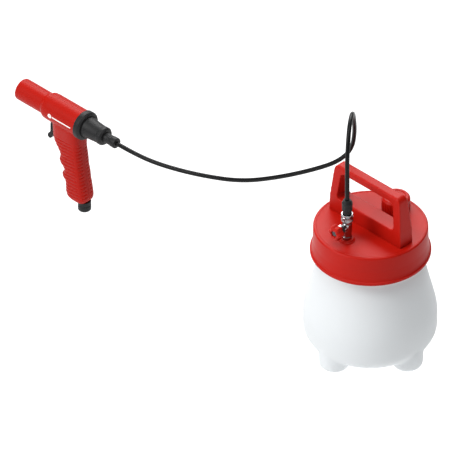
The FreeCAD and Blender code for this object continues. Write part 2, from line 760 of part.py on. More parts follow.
def make_gland_nut():
    pocket_floor = bonnet_reach - packing_depth
    bore = spindle_radius + running_play
    nose = bonnet_reach - 0.8
    keep(ring("Packing", bore, packing_radius - running_play, pocket_floor + 0.1, nose - 0.1,
              SPINDLE, ALONG_MINUS_Y), "spindle_packing")
    nut_at = (pot_x, valve_y - bonnet_reach - running_play, ball_level)
    nut_hex = hexagon("NutHex", nut_radius, nut_reach, nut_at, ALONG_MINUS_Y)
    nut_nose = ring("NutNose", bore, packing_radius - running_play, nose, bonnet_reach + 1,
                    SPINDLE, ALONG_MINUS_Y)
    way = rod("NutWay", bore, bonnet_reach + nut_reach + 2, SPINDLE, ALONG_MINUS_Y)
    keep(cut("GlandNut", fuse("NutBlank", nut_hex, nut_nose), way), "gland_nut")


def make_knob():
    face = knob_start + knob_depth
    knob_at = (pot_x, valve_y - knob_start, ball_level)
    lobes = []
    for index in range(lobe_count):
        angle = 2 * math.pi * index / lobe_count
        at = (pot_x + lobe_pitch * math.cos(angle), valve_y - knob_start,
              ball_level + lobe_pitch * math.sin(angle))
        lobes.append(rod("KnobLobe%d" % index, lobe_radius, knob_depth, at, ALONG_MINUS_Y))
    core = rod("KnobCore", knob_core, knob_depth, knob_at, ALONG_MINUS_Y)
    hub = ring("KnobHub", spindle_radius, bonnet_radius - 1, bonnet_reach + nut_reach + 1, knob_start + 1,
               SPINDLE, ALONG_MINUS_Y)
    bore = rod("KnobBore", spindle_radius, face + 1, SPINDLE, ALONG_MINUS_Y)
    dish_at = (pot_x, valve_y - face + dish_depth, ball_level)
    dish = rod("KnobDish", dish_radius, dish_depth + 1, dish_at, ALONG_MINUS_Y)
    keep(cut("Knob", fuse("KnobBlank", core, hub, *lobes), bore, dish), "valve_knob")
    seat = face - dish_depth
    screw = [
        (0, seat - 5),
        (casing_screw_radius, seat - 5),
        (casing_screw_radius, seat),
        (spindle_radius + 1.2, seat),
        (spindle_radius + 1.2, seat + 1.6),
        (0, seat + 1.6),
    ]
    keep(turned("KnobScrew", screw, SPINDLE, ALONG_MINUS_Y), "knob_screw")


def make_socket_and_plug(chamber, seat_top, barrel_top):
    step = lid_level + socket_step_rise
    top = lid_level + socket_top_rise
    way = way_radius + 0.6
    plug_foot = step + 0.2
    bore = plug_tail_radius + 0.2
    socket = [
        (way, seat_top),
        (chamber, seat_top),
        (chamber, barrel_top),
        (valve_body_radius, barrel_top),
        (valve_body_radius, step - 1.5),
        (socket_radius, step),
        (socket_radius, top),
        (bore, top),
        (bore, step),
        (way, step),
    ]
    keep(turned("Socket", socket, VALVE), "coupling_socket")
    groove_low = step + 4
    groove_high = groove_low + 2
    groove_floor = plug_tail_radius - 1.2
    plug_top = lid_level + plug_top_rise
    plug = [
        (way_radius, plug_foot),
        (plug_tail_radius, plug_foot),
        (plug_tail_radius, groove_low),
        (groove_floor, groove_low),
        (groove_floor, groove_high),
        (plug_tail_radius, groove_high),
        (plug_tail_radius, top),
        (plug_head_radius, plug_top - plug_chamfer - 1),
        (plug_head_radius, plug_top - plug_chamfer),
        (plug_head_radius - plug_chamfer, plug_top),
        (way_radius, plug_top),
    ]
    keep(turned("Plug", plug, VALVE), "hose_plug")
    seal = ring("PlugSeal", groove_floor, bore - 0.02, groove_low + face_play, groove_high - face_play, VALVE)
    keep(seal, "plug_oring")
    keep(ring("PlugTail", barb_bore, way_radius, plug_foot - 2, plug_top, VALVE), "plug_hose_tail")


def make_float():
    washer_low = lid_under - washer_thickness
    nut_low = washer_low - locknut_height
    roof_low = nut_low - cage_roof
    washer_edge = locknut_radius + 1
    keep(ring("Washer", valve_stem_radius, washer_edge, washer_low, lid_under, VALVE), "valve_washer")
    nut = hexagon("LockNutBlank", locknut_radius, locknut_height, (pot_x, valve_y, nut_low))
    bore = rod("LockNutBore", valve_stem_radius, locknut_height + 2, (pot_x, valve_y, nut_low - 1))
    keep(cut("LockNut", nut, bore), "valve_locknut")
    bottom = nut_low - cage_drop
    inner = cage_radius - cage_wall
    cage = [
        (inner, bottom),
        (cage_radius, bottom),
        (cage_radius, nut_low),
        (valve_stem_radius, nut_low),
        (valve_stem_radius, roof_low),
        (inner, roof_low),
    ]
    tube = turned("CageTube", cage, VALVE)
    window_low = bottom + 4.5
    window_high = roof_low - 8
    window_long = 2 * cage_radius + 4
    window_height = window_high - window_low
    window_at = (pot_x, valve_y, window_low)
    windows = [
        block("CageWindowX", window_long, cage_window, window_height, window_at),
        block("CageWindowY", cage_window, window_long, window_height, window_at),
    ]
    keep(cut("FloatCage", tube, *windows), "float_cage")
    spigot_top = bottom + 2
    spigot = inner - running_play
    base = [
        (float_hole, bottom - 2.5),
        (cage_radius, bottom - 2.5),
        (cage_radius, bottom),
        (spigot, bottom),
        (spigot, spigot_top),
        (float_hole, spigot_top),
    ]
    keep(turned("CageFloor", base, VALVE), "cage_floor")
    sit = math.sqrt(value_of(float_radius) ** 2 - value_of(float_hole) ** 2)
    float_level = spigot_top + sit + 2 * face_play
    keep(ball("Float", float_radius, (pot_x, valve_y, float_level)), "float_ball")


# ---------------------------------------------------------------- pistol

BARREL = (gun_x, gun_y, barrel_level)
TRIGGER_VALVE = (gun_x, gun_y, valve_level)
GUN = (gun_x, gun_y, 0)
SEAT_LENGTH = 60
BOSSES = [
    (-12.5, grip_bottom + 15),
    (-18.5, barrel_level - 86),
    (-22.5, barrel_level - 63),
    (-28.5, barrel_level - 48.5),
]


def grip_outline(inset):
    """Side view of the grip, front edge with its finger rests first; inset draws it in."""
    floor = grip_bottom + inset
    web = barrel_level - 41 + inset
    root = barrel_level - 10
    return [
        (inset - 46, root),
        (inset - 46, web),
        (inset - 35.5, barrel_level - 54),
        (inset - 33.5, barrel_level - 62),
        (inset - 35, barrel_level - 68.5),
        (inset - 28, barrel_level - 76),
        (inset - 27.5, barrel_level - 83),
        (inset - 30, barrel_level - 90),
        (inset - 24, barrel_level - 97),
        (inset - 23.5, grip_bottom + 5),
        (inset - 18.5, floor),
        (7 - inset, floor),
        (9.5 - inset, grip_bottom + 7),
        (1.5 - inset, barrel_level - 72),
        (-2.5 - inset, web),
        (-2.5 - inset, root),
    ]


def grip(label, inset):
    """The grip: its side view, rounded by an eight-sided prism that leans with it."""
    half = grip_width / 2 - inset
    flat = half - 6
    depth = 33 - as_size(inset)
    outline = [
        (-depth, -flat), (8 - depth, -half), (depth - 8, -half), (depth, -flat),
        (depth, flat), (depth - 8, half), (8 - depth, half), (-depth, flat),
    ]
    side = plate(label + "Side", grip_outline(inset), grip_width + 4, GUN)
    lean = FreeCAD.Rotation(FreeCAD.Vector(0, 1, 0), -8)
    prism = plate(label + "Prism", outline, 300, (gun_x - 14, gun_y, 60), lean, "XY_Plane")
    return common(label, side, prism)


def make_casing():
    outside = turned("BarrelOutside", [
        (0, -muzzle_reach),
        (nose_radius - 1, -muzzle_reach),
        (nose_radius, 1 - muzzle_reach),
        (nose_radius, -shoulder_start),
        (barrel_radius - 0.8, 2 - shoulder_end),
        (barrel_radius, 6 - shoulder_end),
        (barrel_radius, -barrel_tail),
        (0, -barrel_tail),
    ], BARREL, ALONG_X)
    nose_bore = nose_radius - casing_wall
    barrel_bore = barrel_radius - casing_wall
    inside = turned("BarrelInside", [
        (0, -muzzle_reach - 1),
        (nose_bore, -muzzle_reach - 1),
        (nose_bore, 3 - shoulder_start),
        (barrel_bore, 3 - shoulder_end),
        (barrel_bore, 1 - barrel_tail),
        (0, 1 - barrel_tail),
    ], BARREL, ALONG_X)
    solid = fuse("CasingSolid", outside, grip("GripOutside", as_size(0)))
    bosses = [
        rod("Boss%d" % index, boss_radius, grip_width - 2, (gun_x + u, gun_y + grip_width / 2 - 1, z),
            ALONG_MINUS_Y)
        for index, (u, z) in enumerate(BOSSES)
    ]
    grip_hollow = cut("GripHollow", grip("GripInside", casing_wall), *bosses)
    slot_width = trigger_width + 2 * trigger_play
    hollows = [
        inside,
        grip_hollow,
        block("TriggerSlot", 17, slot_width, 12, (gun_x - pivot_place - 0.5, gun_y, pivot_level - 8.5)),
        rod("StemHole", stem_radius + 0.5, 8, (gun_x - 50, gun_y, valve_level), ALONG_X),
        rod("PinHole", pin_radius, 2 * pin_half, pin_place(), ALONG_MINUS_Y),
        rod("InletHole", inlet_neck_radius + 0.1, 2 * casing_wall, (gun_x, gun_y, grip_bottom - 1)),
    ]
    hollow_casing = cut("CasingHollow", solid, *hollows)
    screw_top = gun_y + grip_width / 2
    shank_ways = []
    for index, (u, z) in enumerate(BOSSES):
        at = (gun_x + u, screw_top + 1, z)
        shank_ways.append(rod("ShankWay%d" % index, casing_screw_radius, casing_screw_length + 4, at,
                              ALONG_MINUS_Y))
        shank_ways.append(rod("HeadWay%d" % index, casing_screw_radius + 1.2, 4.5, at, ALONG_MINUS_Y))
    casing = cut("Casing", hollow_casing, *shank_ways)
    side_box = 60
    for label, node, sign in (("LeftHalf", "casing_left", -1), ("RightHalf", "casing_right", 1)):
        box = block(label + "Box", 260, side_box, 220, (gun_x - 50, gun_y + sign * side_box / 2, -10))
        keep(common(label, casing, box), node)
    screw = [
        (0, 1 - casing_screw_length),
        (casing_screw_radius, 1 - casing_screw_length),
        (casing_screw_radius, 0),
        (casing_screw_radius + 1.1, 0),
        (casing_screw_radius + 1.1, 2),
        (0, 2),
    ]
    outward = FreeCAD.Rotation(FreeCAD.Vector(1, 0, 0), -90)
    screws = [
        turned("CasingScrew%d" % index, screw, (gun_x + u, screw_top - 3.5, z), outward)
        for index, (u, z) in enumerate(BOSSES)
    ]
    keep(group("CasingScrews", screws), "casing_screws")


def seat_place():
    return (gun_x - SEAT_LENGTH, gun_y, valve_level)


def pin_place():
    return (gun_x - pivot_place, gun_y + pin_half, pivot_level)


def make_suction_end():
    ring_tail = ring_length - barrel_tail
    keep(turned("ClampRing", [
        (adaptor_radius, -barrel_tail),
        (ring_radius, -barrel_tail),
        (ring_radius, ring_tail - 2.5),
        (ring_radius - 2, ring_tail),
        (adaptor_radius, ring_tail),
    ], BARREL, ALONG_X), "clamp_ring")
    flange = barrel_radius - casing_wall
    keep(turned("Adaptor", [
        (chamber_radius, -barrel_tail - 6),
        (flange, -barrel_tail - 6),
        (flange, -barrel_tail),
        (adaptor_radius, -barrel_tail),
        (adaptor_radius, ring_tail - 1.5),
        (adaptor_radius - 1.3, ring_tail),
        (adaptor_end_radius, adaptor_tail - 3),
        (adaptor_end_radius - 2, adaptor_tail),
        (hose_radius, adaptor_tail),
        (hose_radius, adaptor_tail - 8),
        (chamber_radius, ring_tail + 6),
    ], BARREL, ALONG_X), "suction_adaptor")
    keep(turned("Gland", [
        (way_radius, adaptor_tail - 7),
        (hose_radius, adaptor_tail - 7),
        (hose_radius, adaptor_tail),
        (gland_radius, adaptor_tail),
        (gland_radius, gland_tail - gland_round),
        (gland_radius - gland_round, gland_tail, gland_round),
        (way_radius, gland_tail),
    ], BARREL, ALONG_X), "hose_gland")
    keep(ring("GunHoseTail", barb_bore, way_radius, adaptor_tail - 12, gland_tail, BARREL, ALONG_X),
         "gun_hose_tail")


def make_ejector():
    rear = -barrel_tail - 8
    front = -ejector_front
    body = turned("EjectorTurned", [
        (mixing_radius, front),
        (ejector_radius, front),
        (ejector_radius, rear),
        (chamber_radius, rear),
        (chamber_radius, front + 14),
        (mixing_radius, front + 8),
    ], BARREL, ALONG_X)
    port_at = (gun_x - feed_place, gun_y, barrel_level - ejector_radius - 1)
    port = rod("EjectorPort", nozzle_radius - 0.5, ejector_radius, port_at)
    keep(cut("Ejector", body, port), "ejector_body")
    tip = front + 11
    jet = turned("NozzleTurned", [
        (0, tip),
        (nozzle_jet + 0.7, tip),
        (nozzle_radius, tip + 5),
        (nozzle_radius, nozzle_radius - feed_place),
        (0, nozzle_radius - feed_place),
    ], BARREL, ALONG_X)
    stalk_low = barrel_level - ejector_radius
    stalk = rod("NozzleStalk", nozzle_radius - 0.5, ejector_radius, (gun_x - feed_place, gun_y, stalk_low))
    jet_way = rod("NozzleJet", nozzle_jet, 11.5, (gun_x + tip - 0.5, gun_y, barrel_level), ALONG_X)
    rise_way = rod("NozzleRise", nozzle_jet, ejector_radius + 0.5,
                   (gun_x - feed_place, gun_y, stalk_low - 0.5))
    keep(cut("Nozzle", fuse("NozzleBlank", jet, stalk), jet_way, rise_way), "air_nozzle")
    pipe_low = valve_level + valve_block_radius - 1
    pipe = ring("FeedTurned", nozzle_jet, nozzle_radius - 0.5, pipe_low, stalk_low,
                (gun_x - feed_place, gun_y, 0))
    seat = rod("FeedSeat", valve_block_radius, SEAT_LENGTH, seat_place(), ALONG_X)
    keep(cut("FeedPipe", pipe, seat), "feed_pipe")
    lip = nose_radius - casing_wall
    mouth = 2 - muzzle_reach
    keep(turned("Exhaust", [
        (mixing_radius, front),
        (mixing_radius, front - 4),
        (exhaust_bore, mouth + 10),
        (exhaust_bore, mouth),
        (lip, mouth),
        (lip, mouth + 5),
        (exhaust_bore + 2, mouth + 7),
        (exhaust_bore + 2, mouth + 10),
        (mixing_radius + 2.4, front - 8),
        (mixing_radius + 2.4, front),
    ], BARREL, ALONG_X), "exhaust_tube")
    foam_front = mouth + 12
    foam_rear = -shoulder_start - 1
    keep(ring("Foam", exhaust_bore + 2, lip - 0.2, foam_front, foam_rear, BARREL, ALONG_X), "silencer_foam")
    keep(ring("ChamberSeal", ejector_radius - 3, ejector_radius, rear + 0.1, rear + 1.9, BARREL, ALONG_X),
         "ejector_oring")


def make_trigger():
    at = (gun_x - pivot_place, gun_y, pivot_level)
    contact = valve_level - pivot_level
    lever = plate("TriggerLever", [
        (-eye_radius, 0),
        (-4.6, contact + 5.5),
        (-4.4, contact - 6.5),
        (-8.6, contact - 12.5),
        (-9.3, contact - 16),
        (-6.8, contact - 18.5),
        (-4, contact - 17.7),
        (0.4, contact - 11.5),
        (lever_back + 0.6, contact - 8),
        (lever_back, contact),
        (lever_back + 0.6, contact + 7.5),
        (eye_radius, 0),
    ], trigger_width, at)
    eye = rod("TriggerEye", eye_radius, trigger_width,
              (gun_x - pivot_place, gun_y + trigger_width / 2, pivot_level), ALONG_MINUS_Y)
    hole = rod("TriggerHole", pin_radius + running_play, trigger_width + 2,
               (gun_x - pivot_place, gun_y + trigger_width / 2 + 1, pivot_level), ALONG_MINUS_Y)
    keep(cut("Trigger", fuse("TriggerBlank", lever, eye), hole), "trigger")
    keep(rod("TriggerPin", pin_radius, 2 * pin_half, pin_place(), ALONG_MINUS_Y), "trigger_pin")


def make_trigger_valve():
    front, rear = -valve_front, -valve_rear
    seat = front + 5.2
    seal_room = stem_radius + 1.1
    turned_block = turned("ValveBlockTurned", [
        (stem_radius + running_play, front + 2.2),
        (seal_room, front + 2.2),
        (seal_room, front),
        (valve_block_radius, front),
        (valve_block_radius, rear),
        (air_chamber_radius, rear),
        (air_chamber_radius, seat),
        (stem_radius + running_play, seat),
    ], TRIGGER_VALVE, ALONG_X)
    out_way = rod("OutWay", nozzle_jet, valve_block_radius + 1, (gun_x - feed_place, gun_y, valve_level))
    in_way = rod("InWay", pipe_bore - 1, valve_block_radius + 1,
                 (gun_x - air_way_place, gun_y, valve_level - valve_block_radius - 1))
    keep(cut("ValveBlock", turned_block, out_way, in_way), "valve_block")
    keep(ring("StemSeal", stem_radius + running_play, seal_room - running_play, front + 0.1, front + 2.1,
              TRIGGER_VALVE, ALONG_X), "stem_seal")
    poppet = seat + 2
    guide = spring_coil - spring_wire - 0.25
    nose = lever_back + stem_gap - pivot_place
    keep(turned("Stem", [
        (0, nose),
        (nose_flat, nose),
        (stem_radius, nose + nose_cone),
        (stem_radius, poppet),
        (poppet_radius, poppet),
        (poppet_radius, poppet + 2),
        (guide, poppet + 2),
        (guide, poppet + 8),
        (0, poppet + 8),
    ], TRIGGER_VALVE, ALONG_X), "valve_stem")
    keep(ring("PoppetSeal", stem_radius, poppet_radius, seat + face_play, poppet, TRIGGER_VALVE, ALONG_X),
         "poppet_seal")
    plug_face = rear - 2
    keep(turned("SpringPlug", [
        (0, plug_face),
        (air_chamber_radius, plug_face),
        (air_chamber_radius, rear),
        (valve_block_radius - 0.5, rear),
        (valve_block_radius - 0.5, rear + 3),
        (0, rear + 3),
    ], TRIGGER_VALVE, ALONG_X), "spring_plug")
    make_spring(poppet + 2 + face_play, plug_face - face_play)


def make_spring(front, rear):
    """The trigger's return spring: round wire in half turns, each a leaning half circle."""
    wire = value_of(spring_wire)
    coil = value_of(spring_coil)
    length = value_of(rear) - value_of(front) - 2 * wire
    half_turns = 2 * spring_turns
    climb = length / half_turns
    pieces = []
    for index in range(half_turns):
        side = 1 if index % 2 == 0 else -1
        start = FreeCAD.Vector(side * coil, 0, index * climb)
        end = FreeCAD.Vector(-side * coil, 0, (index + 1) * climb)
        ahead = FreeCAD.Vector(0, side, 0)
        centre = (start + end) * 0.5
        section = Part.Face(Part.Wire(Part.makeCircle(wire, start, ahead)))
        pieces.append(section.revolve(centre, (start - centre).cross(ahead), FULL_TURN / 2))
    item = doc.addObject("Part::Feature", "Spring")
    item.Shape = pieces[0].multiFuse(pieces[1:]).removeSplitter()
    place(item, (gun_x + value_of(front) + wire, gun_y, valve_level), ALONG_X)
    keep(item, "return_spring")


def make_inlet():
    top = grip_bottom + inlet_neck_rise
    neck = inlet_neck_radius
    pocket_top = inlet_depth + screen_thickness + 2 * face_play
    keep(turned("Inlet", [
        (inlet_bore, 0),
        (inlet_radius - 1, 0),
        (inlet_radius, 1),
        (inlet_radius, grip_bottom - 0.05),
        (neck, grip_bottom - 0.05),
        (neck, top),
        (pipe_bore, top),
        (pipe_bore, pocket_top),
        (screen_radius, pocket_top),
        (screen_radius, inlet_depth),
        (inlet_bore, inlet_depth),
    ], GUN), "inlet_connector")
    keep(ring("Screen", 0, screen_radius, pocket_top - screen_thickness, pocket_top, GUN), "inlet_screen")
    rise = value_of(valve_level) - value_of(top)
    set_back = value_of(air_way_place)
    turn = FreeCAD.Rotation(FreeCAD.Vector(0, 1, 0), -math.degrees(math.atan2(set_back, rise)))
    pipe_length = math.hypot(set_back, rise)
    pipe = ring("PipeTurned", pipe_bore, pipe_radius, 0, pipe_length, (gun_x, gun_y, top), turn)
    seat = rod("PipeSeat", valve_block_radius, SEAT_LENGTH, seat_place(), ALONG_X)
    foot = rod("PipeFoot", inlet_radius, top, GUN)
    keep(cut("AirPipe", pipe, seat, foot), "air_pipe")


# ---------------------------------------------------------------- hose

# Points of the hose's route, from the pot's axis on the floor: up out of the plug, over the
# handle, down behind it and across to the pistol.
HOSE_ROUTE = [
    (0, -45, 262),
    (0, -45, 290),
    (-2, -43.5, 320),
    (-9.5, -34, 346),
    (-21.5, -18.5, 361),
    (-38, 4, 359.5),
    (-50.5, 20, 336),
    (-59, 31, 301),
    (-66.5, 33.5, 268),
    (-85, 27, 241.5),
    (-116, 13.5, 219.5),
    (-163, -3.5, 191.5),
    (-221, -15, 160.5),
    (-284, -25, 142.5),
    (-338, -40, 138),
    (-379, -50, 140),
    (-417, -50, 140),
]


def hose_path(points):
    """Straight runs joined by tangent arcs, each arc as large as its two runs allow."""
    edges = []
    radii = []
    start = points[0]
    for before, corner, after in zip(points, points[1:], points[2:]):
        back = before - corner
        ahead = after - corner
        run = min(back.Length, ahead.Length)
        turn = math.pi - back.getAngle(ahead)
        tangent = 0.45 * run
        radii.append(tangent / math.tan(turn / 2))
        back.normalize()
        ahead.normalize()
        first = corner + back * tangent
        last = corner + ahead * tangent
        bisector = back + ahead
        bisector.normalize()
        to_centre = math.hypot(radii[-1], tangent)
        middle = corner + bisector * (to_centre - radii[-1])
        edges.append(Part.LineSegment(start, first).toShape())
        edges.append(Part.Arc(first, middle, last).toShape())
        start = last
    edges.append(Part.LineSegment(start, points[-1]).toShape())
    return Part.Wire(edges), radii


def hose_points():
    """The route's points; where its ends have moved, the points between move by their share."""
    start = FreeCAD.Vector(0, value_of(valve_y), value_of(lid_level + plug_top_rise))
    end = FreeCAD.Vector(value_of(gland_tail - gun_reach), value_of(gun_y), value_of(barrel_level))
    start_shift = start - FreeCAD.Vector(*HOSE_ROUTE[0])
    end_shift = end - FreeCAD.Vector(*HOSE_ROUTE[-1])
    base = FreeCAD.Vector(value_of(pot_x), 0, 0)
    points = []
    for index, point in enumerate(HOSE_ROUTE):
        share = min(max((index - 1) / (len(HOSE_ROUTE) - 3), 0), 1)
        points.append(base + FreeCAD.Vector(*point) + start_shift * (1 - share) + end_shift * share)
    return points


def make_hose():
    points = hose_points()
    path, radii = hose_path(points)
    radius = value_of(hose_radius)
    section = Part.Wire(Part.makeCircle(radius, points[0], points[1] - points[0]))
    solid = path.makePipeShell([section], True, True)
    expected = math.pi * radius * radius * path.Length
    print("hose length %.1f mm, radii %s" % (path.Length, [round(r) for r in radii]))
    print("hose runs %s" % [round(a.distanceToPoint(b)) for a, b in zip(points, points[1:])])
    if abs(solid.Volume - expected) > 0.01 * expected:
        raise SystemExit("the hose's volume doesn't match its length")
    item = doc.addObject("Part::Feature", "Hose")
    item.Shape = solid
    keep(item, "hose")


# ---------------------------------------------------------------- the whole object

def check_document():
    doc.recompute()
    failed = [item.Name for item in doc.Objects if "Invalid" in item.State or "Error" in item.State]
    if failed:
        raise SystemExit("failed: " + ", ".join(failed))
    for node, item in nodes:
        shape = item.Shape
        if shape.isNull() or not shape.isValid() or not shape.Solids:
            raise SystemExit("bad shape: " + node)


def export():
    os.makedirs("parts", exist_ok=True)
    for node, item in nodes:
        item.Shape.exportStep("parts/%s.step" % node)
        box = item.Shape.BoundBox
        print("%-18s %d solids  %8.0f mm3  x %.1f..%.1f y %.1f..%.1f z %.1f..%.1f" % (
            node, len(item.Shape.Solids), item.Shape.Volume,
            box.XMin, box.XMax, box.YMin, box.YMax, box.ZMin, box.ZMax))


make_bottle()
make_lid()
make_handle()
make_fill_cap()
chamber, chamber_floor, barrel_top = make_valve_body()
seat_top = make_seats(chamber, chamber_floor)
make_spindle()
make_gland_nut()
make_knob()
make_socket_and_plug(chamber, seat_top, barrel_top)
make_float()
make_casing()
make_suction_end()
make_ejector()
make_trigger()
make_trigger_valve()
make_inlet()
make_hose()
check_document()
export()
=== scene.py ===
import json
import math
import bmesh
import bpy
import numpy as np
from mathutils import Matrix, Vector


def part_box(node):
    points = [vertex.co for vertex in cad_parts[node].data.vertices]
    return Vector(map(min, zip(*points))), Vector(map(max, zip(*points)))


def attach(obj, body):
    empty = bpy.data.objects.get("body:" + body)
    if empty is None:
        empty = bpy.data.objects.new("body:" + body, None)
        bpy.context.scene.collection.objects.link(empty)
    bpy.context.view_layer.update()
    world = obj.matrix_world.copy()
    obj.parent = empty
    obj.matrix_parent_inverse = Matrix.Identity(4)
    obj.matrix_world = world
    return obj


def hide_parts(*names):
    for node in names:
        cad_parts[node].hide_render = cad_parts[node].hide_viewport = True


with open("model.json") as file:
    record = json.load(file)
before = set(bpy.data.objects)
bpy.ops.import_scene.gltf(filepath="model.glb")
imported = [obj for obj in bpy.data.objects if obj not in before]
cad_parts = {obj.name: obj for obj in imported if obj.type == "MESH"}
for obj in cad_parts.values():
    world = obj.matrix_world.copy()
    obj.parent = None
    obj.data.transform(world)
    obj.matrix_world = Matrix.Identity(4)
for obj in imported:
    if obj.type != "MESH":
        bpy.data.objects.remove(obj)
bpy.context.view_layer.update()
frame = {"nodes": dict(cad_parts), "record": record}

MM = 0.001
SLIVER = 0.002 * MM
ROOT = "pot_and_pistol"
SEGMENTS = 96
COARSE = 1.0

ALONG_Z = Matrix.Identity(3)
ALONG_X = Matrix(((0, 0, 1), (0, 1, 0), (-1, 0, 0)))
ALONG_MINUS_Y = Matrix(((1, 0, 0), (0, 0, -1), (0, 1, 0)))


def middle(node):
    low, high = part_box(node)
    return (low + high) / 2


# places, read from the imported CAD
bottle_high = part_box("bottle")[1]
lid_low, lid_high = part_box("lid")
handle_low, handle_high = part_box("carry_handle")
socket_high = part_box("coupling_socket")[1]
plug_low, plug_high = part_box("hose_plug")
cap_low, cap_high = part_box("fill_cap")
knob_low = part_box("valve_knob")[0]
casing_low, casing_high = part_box("casing_left")
inlet_low, inlet_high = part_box("inlet_connector")
pot = Vector((middle("lid_gasket").x, 0, 0))
lid_level = handle_low.z
valve = Vector((middle("coupling_socket").x, middle("coupling_socket").y, 0))
spindle_level = middle("valve_ball").z
gun = Vector((middle("inlet_connector").x, middle("inlet_connector").y, 0))
barrel_level = middle("clamp_ring").z
barrel = Vector((gun.x, gun.y, barrel_level))


# ---------------------------------------------------------------- materials

def node_of(tree, kind, **settings):
    made = tree.nodes.new(kind)
    for name, value in settings.items():
        made.inputs[name.replace("_", " ")].default_value = value
    return made


def finish_of(name, color, roughness, metallic=0.0, ior=1.45, level=0.5, grain=700.0, bump=0.02,
              spread=0.08, shade=0.06, translucent=0.0):
    """A moulded, plated or turned surface: its roughness and tone wander a little, with a fine grain."""
    made = bpy.data.materials.new(name)
    made.use_nodes = True
    tree = made.node_tree
    tree.nodes.clear()
    where = tree.nodes.new("ShaderNodeNewGeometry")
    cloud = node_of(tree, "ShaderNodeTexNoise", Scale=22.0, Detail=4.0, Roughness=0.55)
    fine = node_of(tree, "ShaderNodeTexNoise", Scale=grain, Detail=3.0, Roughness=0.6)
    for texture in (cloud, fine):
        tree.links.new(where.outputs["Position"], texture.inputs["Vector"])
    rough = tree.nodes.new("ShaderNodeMapRange")
    rough.inputs["To Min"].default_value = max(roughness - spread, 0.02)
    rough.inputs["To Max"].default_value = min(roughness + spread, 1.0)
    tree.links.new(cloud.outputs["Fac"], rough.inputs["Value"])
    tone = tree.nodes.new("ShaderNodeMix")
    tone.data_type = "RGBA"
    tone.inputs["A"].default_value = [*(c * (1 - shade) for c in color), 1]
    tone.inputs["B"].default_value = [*(min(c * (1 + shade), 1) for c in color), 1]
    tree.links.new(cloud.outputs["Fac"], tone.inputs["Factor"])
    relief = node_of(tree, "ShaderNodeBump", Strength=bump, Distance=0.0004)
    tree.links.new(fine.outputs["Fac"], relief.inputs["Height"])
    surface = tree.nodes.new("ShaderNodeBsdfPrincipled")
    surface.inputs["Metallic"].default_value = metallic
    surface.inputs["IOR"].default_value = ior
    surface.inputs["Specular IOR Level"].default_value = level
    tree.links.new(tone.outputs["Result"], surface.inputs["Base Color"])
    tree.links.new(rough.outputs["Result"], surface.inputs["Roughness"])
    tree.links.new(relief.outputs["Normal"], surface.inputs["Normal"])
    last = surface.outputs["BSDF"]
    if translucent:
        through = tree.nodes.new("ShaderNodeBsdfTranslucent")
        tree.links.new(tone.outputs["Result"], through.inputs["Color"])
        mixed = tree.nodes.new("ShaderNodeMixShader")
        mixed.inputs["Fac"].default_value = translucent
        tree.links.new(last, mixed.inputs[1])
        tree.links.new(through.outputs["BSDF"], mixed.inputs[2])
        last = mixed.outputs["Shader"]
    output = tree.nodes.new("ShaderNodeOutputMaterial")
    tree.links.new(last, output.inputs["Surface"])
    return made


RED = (0.36, 0.0075, 0.0032)
BLACK = (0.013, 0.0132, 0.0138)
FINISHES = {
    "red_shell": finish_of("red_shell", RED, 0.42, level=0.12, bump=0.04),
    "red_lid": finish_of("red_lid", (0.41, 0.0075, 0.0032), 0.42, level=0.13, bump=0.04),
    "bottle_plastic": finish_of("bottle_plastic", (0.86, 0.885, 0.9), 0.42, level=0.25, bump=0.02, shade=0.01,
                                translucent=0.28),
    "black_plastic": finish_of("black_plastic", BLACK, 0.46, level=0.22, bump=0.08),
    "black_rubber": finish_of("black_rubber", (0.02, 0.02, 0.02), 0.6, bump=0.1),
    "hose_rubber": finish_of("hose_rubber", (0.006, 0.0062, 0.0066), 0.36, level=0.15, bump=0.03),
    "valve_chrome": finish_of("valve_chrome", (0.3, 0.3, 0.31), 0.1, metallic=1.0, spread=0.03, shade=0.02),
    "bright_steel": finish_of("bright_steel", (0.58, 0.58, 0.6), 0.3, metallic=1.0, shade=0.03),
    "dark_steel": finish_of("dark_steel", (0.07, 0.07, 0.075), 0.35, metallic=1.0, shade=0.03),
    "brass": finish_of("brass", (0.7, 0.5, 0.2), 0.28, metallic=1.0),
    "alloy": finish_of("alloy", (0.66, 0.67, 0.69), 0.35, metallic=1.0),
    "white_plastic": finish_of("white_plastic", (0.8, 0.8, 0.78), 0.4),
    "foam": finish_of("foam", (0.08, 0.08, 0.08), 0.9, grain=1800.0, bump=0.8),
    "white_ink": finish_of("white_ink", (0.85, 0.85, 0.84), 0.4, shade=0.02),
}


# ---------------------------------------------------------------- ways of making a piece

def link(name, mesh):
    made = bpy.data.objects.new(name, mesh)
    bpy.context.scene.collection.objects.link(made)
    return made


def piece_of(name, points, faces):
    mesh = bpy.data.meshes.new(name)
    mesh.from_pydata([tuple(p) for p in points], [], faces)
    work = bmesh.new()
    work.from_mesh(mesh)
    bmesh.ops.remove_doubles(work, verts=work.verts, dist=1e-7)
    bmesh.ops.recalc_face_normals(work, faces=work.faces)
    work.to_mesh(mesh)
    work.free()
    return link(name, mesh)


